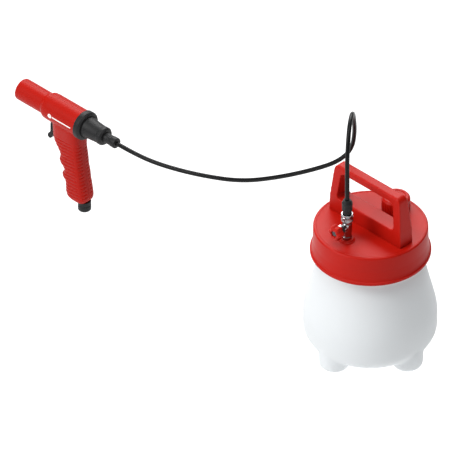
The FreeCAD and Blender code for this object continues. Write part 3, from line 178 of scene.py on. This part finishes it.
def rounded(outline, steps=5):
    """An outline of (across, up, round) corners, each with a round replaced by a smooth bend."""
    made = []
    count = len(outline)
    for index, corner in enumerate(outline):
        here = Vector(corner[:2])
        if len(corner) == 2:
            made.append(tuple(here))
            continue
        back = Vector(outline[index - 1][:2]) - here
        ahead = Vector(outline[(index + 1) % count][:2]) - here
        half = back.angle(ahead) / 2
        reach = min(corner[2] / math.tan(half), 0.49 * back.length, 0.49 * ahead.length)
        back.normalize()
        ahead.normalize()
        centre = here + (back + ahead).normalized() * reach / math.cos(half)
        first, last = here + back * reach - centre, here + ahead * reach - centre
        sweep = math.pi - 2 * half
        for step in range(steps + 1):
            share = step / steps
            arm = math.sin((1 - share) * sweep) * first + math.sin(share * sweep) * last
            made.append(tuple(centre + arm / math.sin(sweep)))
    return made


def skin(name, rings, wrapped=False):
    """A closed surface over rings of equally many points; its ends are closed unless the rings wrap."""
    count = len(rings[0])
    points = [p for ring in rings for p in ring]
    faces = []
    for index in range(len(rings) if wrapped else len(rings) - 1):
        first = index * count
        second = (index + 1) % len(rings) * count
        for i in range(count):
            j = (i + 1) % count
            faces.append((first + i, first + j, second + j, second + i))
    if not wrapped:
        for start in (0, (len(rings) - 1) * count):
            hub = len(points)
            points.append(sum((Vector(points[start + i]) for i in range(count)), Vector()) / count)
            faces += [(start + i, start + (i + 1) % count, hub) for i in range(count)]
    return piece_of(name, points, faces)


def turned(name, outline, at, turn=ALONG_Z, segments=SEGMENTS, wobble=None):
    """A turned piece from a closed outline in millimetres; wobble(angle, height) scales the radius."""
    rings = []
    for radius, height in rounded(outline):
        ring = []
        for step in range(segments):
            angle = 2 * math.pi * step / segments
            reach = radius * (wobble(angle, height) if wobble else 1)
            local = Vector((reach * math.cos(angle), reach * math.sin(angle), height)) * MM
            ring.append(at + turn @ local)
        rings.append(ring)
    on_axis = outline[0][0] == 0 and outline[-1][0] == 0
    return skin(name, rings, wrapped=not on_axis)


def inset_outline(outline, depth):
    """The outline drawn in by a depth, each corner along its own bisector."""
    points = [Vector(p) for p in outline]
    area = sum(a.x * b.y - b.x * a.y for a, b in zip(points, points[1:] + points[:1]))
    side = 1 if area > 0 else -1
    made = []
    for index, here in enumerate(points):
        before = (here - points[index - 1]).normalized()
        after = (points[(index + 1) % len(points)] - here).normalized()
        inward = Vector((-(before + after).y, (before + after).x)).normalized() * side
        made.append(here + inward * depth)
    return made


def slab(name, outline, width, edge, at, steps=4):
    """A plate seen from the side, its outline in millimetres along X and Z, with rounded long edges."""
    rings = []
    flat = rounded(outline)
    for side in (-1, 1):
        for step in range(steps + 1):
            share = step / steps if side < 0 else 1 - step / steps
            angle = share * math.pi / 2
            across = side * (width / 2 - edge * (1 - math.sin(angle)))
            drawn_in = inset_outline(flat, edge * (1 - math.cos(math.pi / 2 - angle)))
            rings.append([at + Vector((p.x, across, p.y)) * MM for p in drawn_in])
    return skin(name, rings)


def box(name, low, high):
    corners = [Vector((x, y, z)) for x in (low[0], high[0]) for y in (low[1], high[1])
               for z in (low[2], high[2])]
    faces = [(0, 1, 3, 2), (4, 6, 7, 5), (0, 4, 5, 1), (2, 3, 7, 6), (0, 2, 6, 4), (1, 5, 7, 3)]
    return piece_of(name, corners, faces)


def applied(item):
    """Bake an object's modifiers into its mesh."""
    bpy.context.view_layer.update()
    ready = item.evaluated_get(bpy.context.evaluated_depsgraph_get())
    mesh = bpy.data.meshes.new_from_object(ready)
    item.modifiers.clear()
    item.data = mesh
    return item


def combine(item, operation, *others):
    """Join, cut or keep what is common, and drop the tools."""
    for other in others:
        change = item.modifiers.new(operation, "BOOLEAN")
        change.operation = operation
        change.solver = "MANIFOLD"
        change.object = other
        applied(item)
        bpy.data.objects.remove(other)
    return item


def soften(item, grid, passes):
    """Rebuild a piece on an even grid and relax it, so that every edge and joint is rounded."""
    even = item.modifiers.new("even", "REMESH")
    even.mode = "VOXEL"
    even.voxel_size = grid * COARSE * MM
    relax = item.modifiers.new("relax", "SMOOTH")
    relax.factor = 0.5
    relax.iterations = max(round(passes / COARSE), 1)
    return applied(item)


def shaded(item, angle=35):
    item.data.shade_smooth()
    item.data.set_sharp_from_angle(angle=math.radians(angle))
    return item


def cleaned(item):
    """Drop the slivers that cutting leaves behind."""
    work = bmesh.new()
    work.from_mesh(item.data)
    bmesh.ops.dissolve_degenerate(work, edges=work.edges, dist=SLIVER)
    bmesh.ops.remove_doubles(work, verts=work.verts, dist=SLIVER)
    work.to_mesh(item.data)
    work.free()
    return item


def place(item, slot, body, *stands_for, finish=None, angle=35):
    """Give a finished piece its shading, finish and body, and hide the CAD nodes that it stands for."""
    shaded(cleaned(item), angle)
    item.data.materials.clear()
    item.data.materials.append(FINISHES[finish or slot])
    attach(item, body)
    if stands_for:
        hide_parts(*stands_for)
    return item


def smooth_table(rows, levels):
    """Values of a table at the levels given, eased so that no kink is left."""
    known = np.array(sorted(rows))
    fine = np.linspace(known[0, 0], known[-1, 0], 241)
    values = np.interp(fine, known[:, 0], known[:, 1])
    kernel = np.hanning(9)
    padded = np.pad(values, 4, mode="edge")
    eased = np.convolve(padded, kernel / kernel.sum(), mode="valid")
    return np.interp(levels, fine, eased)


# ---------------------------------------------------------------- bottle

def make_bottle():
    """The blown bottle: a bowl that runs into four round feet, hollow under its neck."""
    widest = 88.8
    neck = 69
    rim = bottle_high.z / MM
    outside = turned("bottle_shell", [
        (0, 14), (widest, 14, 38), (widest, 65, 80), (72.4, 132, 16), (neck, 146, 8), (neck, rim, 1),
        (0, rim),
    ], pot)
    spread = 68
    for index in range(4):
        angle = index * math.pi / 2
        at = pot + Vector((spread * math.cos(angle), spread * math.sin(angle), 0)) * MM
        foot = turned("foot", [(0, 0), (21, 0, 14.5), (21, 30, 18), (14, 50, 14), (0, 56)], at)
        combine(outside, "UNION", foot)
    soften(outside, 1.5, 16)
    inside = turned("bottle_inside", [
        (0, 17), (widest - 2.6, 17, 36), (widest - 2.6, 65, 78), (69.8, 132, 16), (neck - 2.4, 146, 8),
        (neck - 2.4, rim + 2), (0, rim + 2),
    ], pot)
    combine(outside, "DIFFERENCE", inside)
    place(outside, "bottle_plastic", "bottle", "bottle", angle=60)


# ---------------------------------------------------------------- lid and handle

def make_lid():
    """The screw lid with its flange, inner wall, filling neck and the low ring under the valve."""
    level = lid_level / MM
    mouth = lid_low.z / MM
    top_radius = 75.5
    flare = (lid_high.x - pot.x) / MM
    cover = turned("screw_lid", [
        (0, level - 4), (72.4, level - 4, 1), (72.4, mouth + 0.2, 0.5), (flare - 1.6, mouth, 0.9),
        (flare, mouth + 0.9, 1.0), (flare, mouth + 4.4, 1.2), (flare - 1.7, mouth + 5.2, 1.0),
        (top_radius + 1.9, mouth + 9, 6), (top_radius + 0.7, mouth + 20, 30),
        (top_radius + 0.3, level - 1.8, 0.9), (top_radius - 1, level - 0.3, 0.9),
        (top_radius - 3, level, 0.9), (top_radius - 4.6, level - 0.4, 0.9), (0, level - 0.4),
    ], pot, segments=2 * SEGMENTS)
    middle_of_cap = middle("fill_cap")
    fill_at = Vector((middle_of_cap.x, middle_of_cap.y, 0))
    neck = turned("filling_neck", [
        (11, level - 3), (17, level - 3), (17, level + 0.6, 0.5), (14, level + 1.4, 0.8),
        (14, level + 13.9, 0.8), (11, level + 13.9, 0.8),
    ], fill_at)
    boss = turned("valve_ring", [
        (0, level - 3), (12, level - 3), (11, level + 0.4, 1), (9, level + 1.4, 0.8),
        (8.8, level + 2.9, 0.8), (0, level + 2.9),
    ], valve)
    combine(cover, "UNION", neck, boss)
    place(cover, "red_lid", ROOT, "lid", angle=28)


def make_handle():
    """The carrying handle: two leaning posts on a deep beam and a slimmer bar for the hand."""
    level = lid_level / MM
    top = handle_high.z / MM
    base = (handle_high.x - pot.x) / MM
    crown = base - 6
    sill = level + 22
    lintel = top - 9.4
    side = slab("handle", [
        (-base, level - 1), (base, level - 1), (base - 1, sill), (crown + 1.2, top - 14, 8),
        (crown - 1, top, 13), (1 - crown, top, 13), (-crown - 1.2, top - 14, 8), (1 - base, sill),
    ], 25, 0.5, pot)
    window = slab("window", [
        (13.6 - base, sill, 5), (base - 13.6, sill, 5), (crown - 12.6, lintel, 7), (12.6 - crown, lintel, 7),
    ], 40, 0.5, pot)
    combine(side, "DIFFERENCE", window)
    rings = []
    for x in (-base - 2, base + 2):
        profile = rounded([
            (-11.5, level - 2), (11.5, level - 2), (11.5, sill, 6), (8.6, top - 14, 12), (7.6, top, 3),
            (-7.6, top, 3), (-8.6, top - 14, 12), (-11.5, sill, 6),
        ])
        rings.append([pot + Vector((x, y, z)) * MM for y, z in profile])
    combine(side, "INTERSECT", skin("handle_profile", rings))
    for sign in (-1, 1):
        waist = slab("waist", [
            (-36, lintel - 2), (36, lintel - 2), (44, top + 2), (-44, top + 2),
        ], 3.2, 1.5, pot + Vector((0, sign * 7.7, 0)) * MM)
        combine(side, "DIFFERENCE", waist)
    soften(side, 0.8, 7)
    foot = box("handle_foot_cut", (-1, -1, lid_level - 0.01), (1, 1, lid_level - 0.0002))
    combine(side, "DIFFERENCE", foot)
    place(side, "red_lid", ROOT, "carry_handle", angle=60)


def make_fill_cap():
    """The round filling cap with a gently fluted wall."""
    at = Vector((middle("fill_cap").x, middle("fill_cap").y, 0))
    low, high = cap_low.z / MM, cap_high.z / MM
    outer = (cap_high.x - cap_low.x) / 2 / MM
    flutes = 30

    def fluted(angle, height):
        return 1 - 0.012 * (1 - math.cos(flutes * angle)) * (low + 2 < height < high - 4)

    cap = turned("filling_cap", [
        (0, high - 3.6), (14.4, high - 3.6), (14.4, low), (outer - 0.4, low, 0.5), (outer, low + 2.2, 1),
        (outer, low + 3), (outer - 0.1, high - 5), (outer - 0.2, high - 3, 1), (outer - 2.4, high, 2.2),
        (outer - 5.5, high, 0.8), (outer - 6.5, high - 0.7, 0.8), (0, high - 0.7),
    ], at, segments=8 * flutes, wobble=fluted)
    place(cap, "red_lid", "fill_cap", "fill_cap")


# ---------------------------------------------------------------- valve, knob and plug

def make_valve():
    """The plated valve: flanged foot, barrel, side arm, and a knurled socket for the hose's plug."""
    foot = lid_level / MM + 3
    step = socket_high.z / MM - 11
    body = turned("valve_barrel", [
        (0, foot), (6.1, foot, 0.3), (6.5, foot + 0.8, 0.4), (6.5, foot + 3.6, 0.4), (5.9, foot + 4.4, 0.5),
        (5.9, foot + 9.5, 0.6), (6.5, foot + 11, 0.8), (6.5, step - 4.6, 0.4), (5.8, step - 4, 0.3),
        (5.8, step - 3.4, 0.3), (0, step - 3.4),
    ], valve)
    arm_at = Vector((valve.x, valve.y, spindle_level))
    arm_end = 9.4
    arm = turned("valve_arm", [
        (0, 0), (5.2, 0), (5.2, arm_end - 0.6, 0.6), (4.6, arm_end, 0.3), (0, arm_end),
    ], arm_at, ALONG_MINUS_Y)
    combine(body, "UNION", arm)
    spindle_way = turned("spindle_way", [(0, 4), (2.4, 4), (2.4, 20), (0, 20)], arm_at, ALONG_MINUS_Y)
    chamber = turned("ball_chamber", [
        (0, spindle_level / MM - 5.4), (5.2, spindle_level / MM - 5.4), (5.2, spindle_level / MM + 5.4),
        (0, spindle_level / MM + 5.4),
    ], valve)
    combine(body, "DIFFERENCE", spindle_way, chamber)
    place(body, "valve_chrome", ROOT, "valve_body")
    teeth = 28

    def knurl(angle, height):
        return 1 - 0.02 * (1 - math.cos(teeth * angle)) * (step + 1.4 < height < step + 6.6)

    top = socket_high.z / MM
    socket = turned("coupling_collar", [
        (6.3, step - 3.4), (6.4, step - 3.4), (6.6, step - 1.4, 0.4), (8, step, 0.6), (8, step + 1.3),
        (8, step + 1.6), (8, step + 6.4), (8, step + 6.8), (7.4, step + 7.6, 0.4), (7.4, top - 1.6, 0.3),
        (7.9, top - 1, 0.3), (7.6, top, 0.4), (6.3, top, 0.2),
    ], valve, segments=8 * teeth, wobble=knurl)
    place(socket, "valve_chrome", ROOT, "coupling_socket")


def make_knob():
    """The six-lobed knob with its dished face and hub."""
    face = (valve.y - knob_low.y) / MM
    back = face - 11
    at = Vector((valve.x, valve.y, spindle_level))
    lobes = 6

    def lobed(angle, height):
        return 1 + 0.115 * (math.cos(lobes * angle) - 1) * (height > back - 0.5)

    knob = turned("lobed_knob", [
        (2.3, back - 3.6), (4.2, back - 3.6, 0.4), (4.2, back - 0.6, 0.4), (9.4, back, 1.4),
        (10.9, back + 2, 1.6), (10.9, face - 2.4, 2), (8.8, face, 1.8), (5.4, face, 0.8),
        (4.8, face - 3, 0.5), (2.3, face - 3),
    ], at, ALONG_MINUS_Y, segments=24 * lobes, wobble=lobed)
    place(knob, "red_lid", "valve_spindle", "valve_knob", angle=40)


def make_plug():
    """The hose's push-in plug: shouldered body with flats, tapering to a sleeve round the hose."""
    low, high = plug_low.z / MM, plug_high.z / MM
    mouth = socket_high.z / MM
    flats = 6

    def flatted(angle, height):
        inside = mouth + 7.2 < height < mouth + 14.8
        turn = (angle % (2 * math.pi / flats)) - math.pi / flats
        return min(1.0, 0.93 / math.cos(turn)) if inside else 1.0

    plug = turned("push_in_plug", [
        (3.1, low), (5.9, low, 0.5), (5.9, mouth + 4.6, 0.4), (6.9, mouth + 6, 0.5), (7.0, mouth + 7),
        (7.0, mouth + 7.4), (7.2, mouth + 14.6), (7.2, mouth + 15), (7.2, mouth + 17.6, 0.9),
        (5.3, high - 1.2, 0.8), (4.9, high, 0.5), (3.1, high, 0.3),
    ], valve, segments=12 * flats, wobble=flatted)
    place(plug, "black_plastic", ROOT, "hose_plug")


# ---------------------------------------------------------------- pistol

def make_shell():
    """The pistol's two moulded halves: barrel, ribbed grip with finger rests, hollow inside."""
    nose = (gun.x - casing_low.x) / MM
    floor = casing_low.z / MM
    level = barrel_level / MM
    tube = turned("shell", [
        (0, -nose), (15.3, -nose, 1.4), (15.4, 8 - nose), (15.4, -67.4, 1.2), (18.5, -62.2, 2.4),
        (19, -56, 6), (19, -2.2, 0.3), (0, -2.2),
    ], barrel, ALONG_X)
    front = [
        (15, -19), (18, -24.4), (24, -26.4), (38, -26.6), (42, -27.4), (45.5, -31.6), (49, -33.6),
        (52.5, -31.8), (56, -28.8), (60, -29), (64, -32.4), (67.5, -37), (71, -38.6), (75, -37), (81, -36),
        (88, -40.4), (94, -45.2), (99, -48.4), (105, -49.8), (130, -49.8),
    ]
    back = [(15, 6), (19, 8.8), (24, 9.2), (45, 5.4), (68, 1.4), (99, -2.4), (130, -2.4)]
    half = [
        (15, 11.4), (18, 13.4), (26, 14.2), (95, 14.4), (105, 14.6), (115, 15.4), (125, 16.3), (130, 16.4),
    ]
    levels = np.linspace(floor, level - 9, 70)
    fronts, backs, halves = (smooth_table(rows, levels) for rows in (front, back, half))
    rings = []
    corners = 72
    squareness = 3.4
    for z, u_front, u_back, width in zip(levels, fronts, backs, halves):
        centre, reach = (u_front + u_back) / 2, (u_back - u_front) / 2
        ring = []
        for step in range(corners):
            angle = 2 * math.pi * step / corners
            along = math.copysign(abs(math.cos(angle)) ** (2 / squareness), math.cos(angle))
            across = math.copysign(abs(math.sin(angle)) ** (2 / squareness), math.sin(angle))
            ring.append(gun + Vector((centre + reach * along, width * across, z)) * MM)
        rings.append(ring)
    combine(tube, "UNION", skin("grip", rings))
    soften(tube, 0.55, 5)
    rib_grip(tube, levels, fronts, backs, halves)
    hollow = turned("barrel_hollow", [
        (0, -nose - 2), (12.3, -nose - 2), (12.3, -64), (16.4, -60), (16.4, 2), (0, 2),
    ], barrel, ALONG_X)
    trigger_low, trigger_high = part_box("trigger")
    stem_low, stem_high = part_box("valve_stem")
    slot_side = (trigger_high.y - trigger_low.y) / 2 + 0.3 * MM
    slot = box("trigger_slot", (gun.x - 65 * MM, gun.y - slot_side, barrel_level - 28 * MM),
               (gun.x - 48 * MM, gun.y + slot_side, barrel_level))
    room = 9.5
    grip_room = skin("grip_hollow", [
        [gun + Vector(corner) * MM for corner in (
            (u_front, -room, z), (u_back, -room, z), (u_back, room, z), (u_front, room, z))]
        for z, u_front, u_back in (
            (floor - 2, -8, 2), (60, -20, -3), (92, -33, -8), (114, -44, -8), (122, -44, -8))
    ])
    stem = turned("stem_way", [(0, -62), (3, -62), (3, -30), (0, -30)],
                  Vector((gun.x, gun.y, (stem_low.z + stem_high.z) / 2)), ALONG_X)
    combine(tube, "DIFFERENCE", hollow, slot, grip_room, stem)
    seam = 0.12 * MM
    for name, node, sign in (("shell_left", "casing_left", -1), ("shell_right", "casing_right", 1)):
        side = link(name, tube.data.copy())
        inner, outer = gun.y + sign * seam, gun.y + sign * 60 * MM
        keep = box("half", (casing_low.x - 0.01, min(inner, outer), -0.01),
                   (casing_high.x + 0.02, max(inner, outer), 0.3))
        combine(side, "INTERSECT", keep)
        place(side, "red_shell", ROOT, node, angle=50)
    bpy.data.objects.remove(tube)


def rib_grip(item, levels, fronts, backs, halves):
    """Press shallow horizontal grooves into both sides of the grip, in two columns."""
    rib_low, rib_high, pitch = 21.0, 109.0, 5.2
    depth, half_width, edge, lean = 0.62, 1.3, 5.0, 2.4
    count = len(item.data.vertices)
    spots = np.empty(count * 3)
    item.data.vertices.foreach_get("co", spots)
    spots = spots.reshape(-1, 3)
    normals = np.empty(count * 3)
    item.data.vertex_normals.foreach_get("vector", normals)
    normals = normals.reshape(-1, 3)
    u, y, z = ((spots[:, axis] - origin) / MM for axis, origin in enumerate((gun.x, gun.y, 0)))
    ahead, behind, width = (np.interp(z, levels, reaches) for reaches in (fronts, backs, halves))
    around = np.degrees(np.arctan2(np.abs(y) / width, (u - (ahead + behind) / 2) / ((behind - ahead) / 2)))
    wave = (z + lean * (around - 90) / 90 - rib_low) % pitch - pitch / 2
    groove = np.clip(1 - (wave / half_width) ** 2, 0, 1)

    def column(start, end):
        return np.clip((around - start) / edge, 0, 1) * np.clip((end - around) / edge, 0, 1)

    columns = np.maximum(column(10, 44), column(52, 150))
    rows = np.clip((z - rib_low) / 2, 0, 1) * np.clip((rib_high - z) / 2, 0, 1)
    press = depth * groove * columns * rows
    spots -= normals * press[:, None] * MM
    item.data.vertices.foreach_set("co", spots.ravel())
    item.data.update()


def make_mark():
    """A plain white disc and bar where the pistol carries a printed mark."""
    radius = 19.02
    thickness = 0.1
    height_angle = math.radians(1)

    def wrapped_patch(name, outline):
        rings = []
        for reach in (radius - 0.5, radius + thickness):
            ring = []
            for u, s in outline:
                angle = height_angle + s / radius
                ring.append(barrel + Vector((u, -reach * math.cos(angle), reach * math.sin(angle))) * MM)
            rings.append(ring)
        return skin(name, rings)

    disc = [(-46 + 3.2 * math.cos(a), 3.2 * math.sin(a)) for a in np.linspace(0, 2 * math.pi, 40)[:-1]]
    bar = rounded([(-41.5, -0.9, 0.4), (-7, -0.9, 0.8), (-7.6, 0.9, 0.8), (-41.5, 0.9, 0.4)])
    for name, outline in (("mark_disc", disc), ("mark_bar", bar)):
        place(wrapped_patch(name, outline), "red_shell", ROOT, finish="white_ink")


def make_suction_end():
    """The black ring, the stepped adaptor and the hose's gland behind the barrel."""
    ring = turned("clamp_collar", [
        (15.1, -2), (20.1, -2, 0.5), (20.5, -1.2, 0.5), (20.5, 5.2, 1.2), (18.4, 8, 1.4), (15.1, 8, 0.6),
    ], barrel, ALONG_X)
    place(ring, "black_plastic", ROOT, "clamp_ring")
    flats = 8

    def flatted(angle, height):
        turn = (angle % (2 * math.pi / flats)) - math.pi / flats
        inside = min(max((height - 12) / 3, 0), 1) * min(max((33 - height) / 2, 0), 1)
        return 1 - 0.02 * inside * (1 - math.cos(turn)) / (1 - math.cos(math.pi / flats))

    cone = turned("suction_cone", [
        (9, -8), (16.5, -8), (16.5, -2.2), (14.9, -2), (14.9, 6), (14.9, 9, 0.8), (14.5, 10.5, 0.8),
        (14, 13), (12.5, 32.5, 0.5), (12.9, 34, 0.8), (12.9, 38.4, 1.8), (10.9, 41, 1.2), (3, 41), (3, 33),
        (9, 14),
    ], barrel, ALONG_X, segments=12 * flats, wobble=flatted)
    place(cone, "black_plastic", ROOT, "suction_adaptor")
    ribs = 12

    def ribbed(angle, height):
        return 1 - 0.02 * (1 - math.cos(ribs * angle)) * (43.2 < height < 52.6)

    gland = turned("hose_gland_nut", [
        (3.1, 34), (4, 34), (4, 41), (7, 41, 0.4), (7.1, 43), (7.1, 43.4), (7.1, 52.4), (7.1, 52.8, 0.2),
        (7.5, 53.6, 0.4), (7.5, 61, 1.3), (3.1, 61, 0.3),
    ], barrel, ALONG_X, segments=12 * ribs, wobble=ribbed)
    place(gland, "black_plastic", ROOT, "hose_gland")


def make_trigger():
    """The slim curved trigger with its rounded tip."""
    pin = middle("trigger_pin")
    low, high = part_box("trigger")
    drop = (pin.z - low.z) / MM
    lever = slab("trigger_lever", [
        (2.1, 1.6, 1.6), (-2.1, 1.6, 1.6), (-4, -12, 5), (-4.2, 12 - drop, 3), (-8.4, 7 - drop, 2.4),
        (-9.4, 2.6 - drop, 2), (-6.8, 0.1 - drop, 2), (-3.2, 1 - drop, 2.2), (-1, 7 - drop, 4),
        (-1.2, 12 - drop, 5), (-1, -14, 6), (1.4, -9, 4),
    ], (high.y - low.y) / MM, 1.2, Vector((pin.x, gun.y, pin.z)))
    place(lever, "black_plastic", "trigger", "trigger")


def make_inlet():
    """The black air connector under the grip, with a grooved waist."""
    top = casing_low.z / MM
    outer = (inlet_high.x - inlet_low.x) / 2 / MM
    connector = turned("air_connector", [
        (5.9, 0, 0.4), (outer - 0.8, 0, 0.6), (outer, 1.2, 0.6), (outer, 7.5, 0.4), (outer - 0.5, 8.2, 0.3),
        (outer - 0.5, 9, 0.3), (outer, 9.8, 0.4), (outer, top - 0.1), (5, top - 0.1), (5, top + 9),
        (3, top + 9), (3, 13.4), (5.3, 13.4), (5.3, 12), (5.9, 12),
    ], gun)
    place(connector, "black_plastic", ROOT, "inlet_connector")


# ---------------------------------------------------------------- hose

HOSE_POINTS = [
    (0, -45, 262), (0, -45, 290), (-2, -43.5, 320), (-9.5, -34, 346), (-21.5, -18.5, 361), (-38, 4, 359.5),
    (-50.5, 20, 336), (-59, 31, 301), (-66.5, 33.5, 268), (-85, 27, 241.5), (-116, 13.5, 219.5),
    (-163, -3.5, 191.5), (-221, -15, 160.5), (-284, -25, 142.5), (-338, -40, 138), (-379, -50, 140),
    (-417, -50, 140),
]
HOSE_DIAMETER = 6 * MM


def make_hose():
    curve = bpy.data.curves.new("suction_hose", "CURVE")
    curve.dimensions = "3D"
    curve.resolution_u = 24
    curve.bevel_depth = HOSE_DIAMETER / 2
    curve.bevel_resolution = 8
    curve.use_fill_caps = True
    line = curve.splines.new("NURBS")
    line.points.add(len(HOSE_POINTS) - 1)
    for knot, point in zip(line.points, HOSE_POINTS):
        knot.co = (*(pot + Vector(point) * MM), 1)
    line.order_u = 3
    line.use_endpoint_u = True
    hose = link("suction_hose", curve)
    curve.materials.append(FINISHES["hose_rubber"])
    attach(hose, ROOT)
    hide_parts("hose")


# ---------------------------------------------------------------- the rest of the scene

def dress_cad():
    """Give every CAD node its procedural finish."""
    slots = {part["node"]: part["material_slot"] for part in frame["record"]["subparts"]}
    # the knob's screw takes dark steel in place of its bright steel: painted shade for the dark, dished
    # centre of the knob's face
    slots["knob_screw"] = "dark_steel"
    for name, item in frame["nodes"].items():
        item.data.materials.clear()
        item.data.materials.append(FINISHES[slots[name]])


def make_floor():
    ground = bpy.data.materials.new("pale_floor")
    ground.use_nodes = True
    tree = ground.node_tree
    tree.nodes.clear()
    lit = node_of(tree, "ShaderNodeBsdfDiffuse", Color=(0.9, 0.9, 0.9, 1))
    glow = node_of(tree, "ShaderNodeEmission", Color=(1, 1, 1, 1), Strength=1.36)
    share = tree.nodes.new("ShaderNodeMixShader")
    share.inputs["Fac"].default_value = 0.95
    tree.links.new(lit.outputs["BSDF"], share.inputs[1])
    tree.links.new(glow.outputs["Emission"], share.inputs[2])
    output = tree.nodes.new("ShaderNodeOutputMaterial")
    tree.links.new(share.outputs["Shader"], output.inputs["Surface"])
    reach = 14
    corners = [(-reach, -reach, 0), (reach, -reach, 0), (reach, reach, 0), (-reach, reach, 0)]
    floor = piece_of("floor", corners, [(0, 1, 2, 3)])
    floor.location.z = -0.2 * MM
    floor.data.materials.append(ground)


def area_light(name, toward, distance, size, power, aim):
    light = bpy.data.lights.new(name, "AREA")
    light.shape = "RECTANGLE"
    light.size, light.size_y = size
    light.energy = power
    lamp = link(name, light)
    lamp.location = aim + Vector(toward).normalized() * distance
    lamp.rotation_euler = (aim - lamp.location).to_track_quat("-Z", "Y").to_euler()


AZIMUTH = math.radians(44)
ELEVATION = math.radians(37)
LOOK = Vector((-math.sin(AZIMUTH) * math.cos(ELEVATION), math.cos(AZIMUTH) * math.cos(ELEVATION),
               -math.sin(ELEVATION)))
RIGHT = Vector((math.cos(AZIMUTH), math.sin(AZIMUTH), 0))
UPWARD = RIGHT.cross(LOOK)


def make_lights():
    aim = Vector((0.05, 0, 0.12))
    flat_look = Vector((LOOK.x, LOOK.y, 0)).normalized()
    up = Vector((0, 0, 1))
    area_light("back_softbox", flat_look * 0.8 + up * 0.66, 2.4, (2.2, 1.2), 68, aim)
    area_light("left_softbox", up * 0.75 - RIGHT * 0.9 - flat_look * 0.45, 2.2, (1.2, 1.2), 37, aim)
    area_light("top_softbox", up - flat_look * 0.25, 2.2, (1.4, 1.4), 30, aim)
    world = bpy.data.worlds.new("studio")
    bpy.context.scene.world = world
    world.use_nodes = True
    backdrop = world.node_tree.nodes["Background"]
    backdrop.inputs["Color"].default_value = (1, 1, 1, 1)
    backdrop.inputs["Strength"].default_value = 0.06


def make_camera():
    field = 0.594
    distance = 24.0
    lens = bpy.data.cameras.new("camera")
    lens.sensor_width = 36
    lens.lens = lens.sensor_width * distance / field
    lens.clip_end = 3 * distance
    camera = link("camera", lens)
    aim = pot - RIGHT * 0.1914 + UPWARD * 0.1566
    camera.location = aim - LOOK * distance
    camera.rotation_euler = LOOK.to_track_quat("-Z", "Y").to_euler()
    bpy.context.scene.camera = camera


dress_cad()
make_bottle()
make_lid()
make_handle()
make_fill_cap()
make_valve()
make_knob()
make_plug()
make_shell()
make_mark()
make_suction_end()
make_trigger()
make_inlet()
make_hose()
make_floor()
make_lights()
make_camera()
bpy.context.scene.view_settings.view_transform = "Standard"
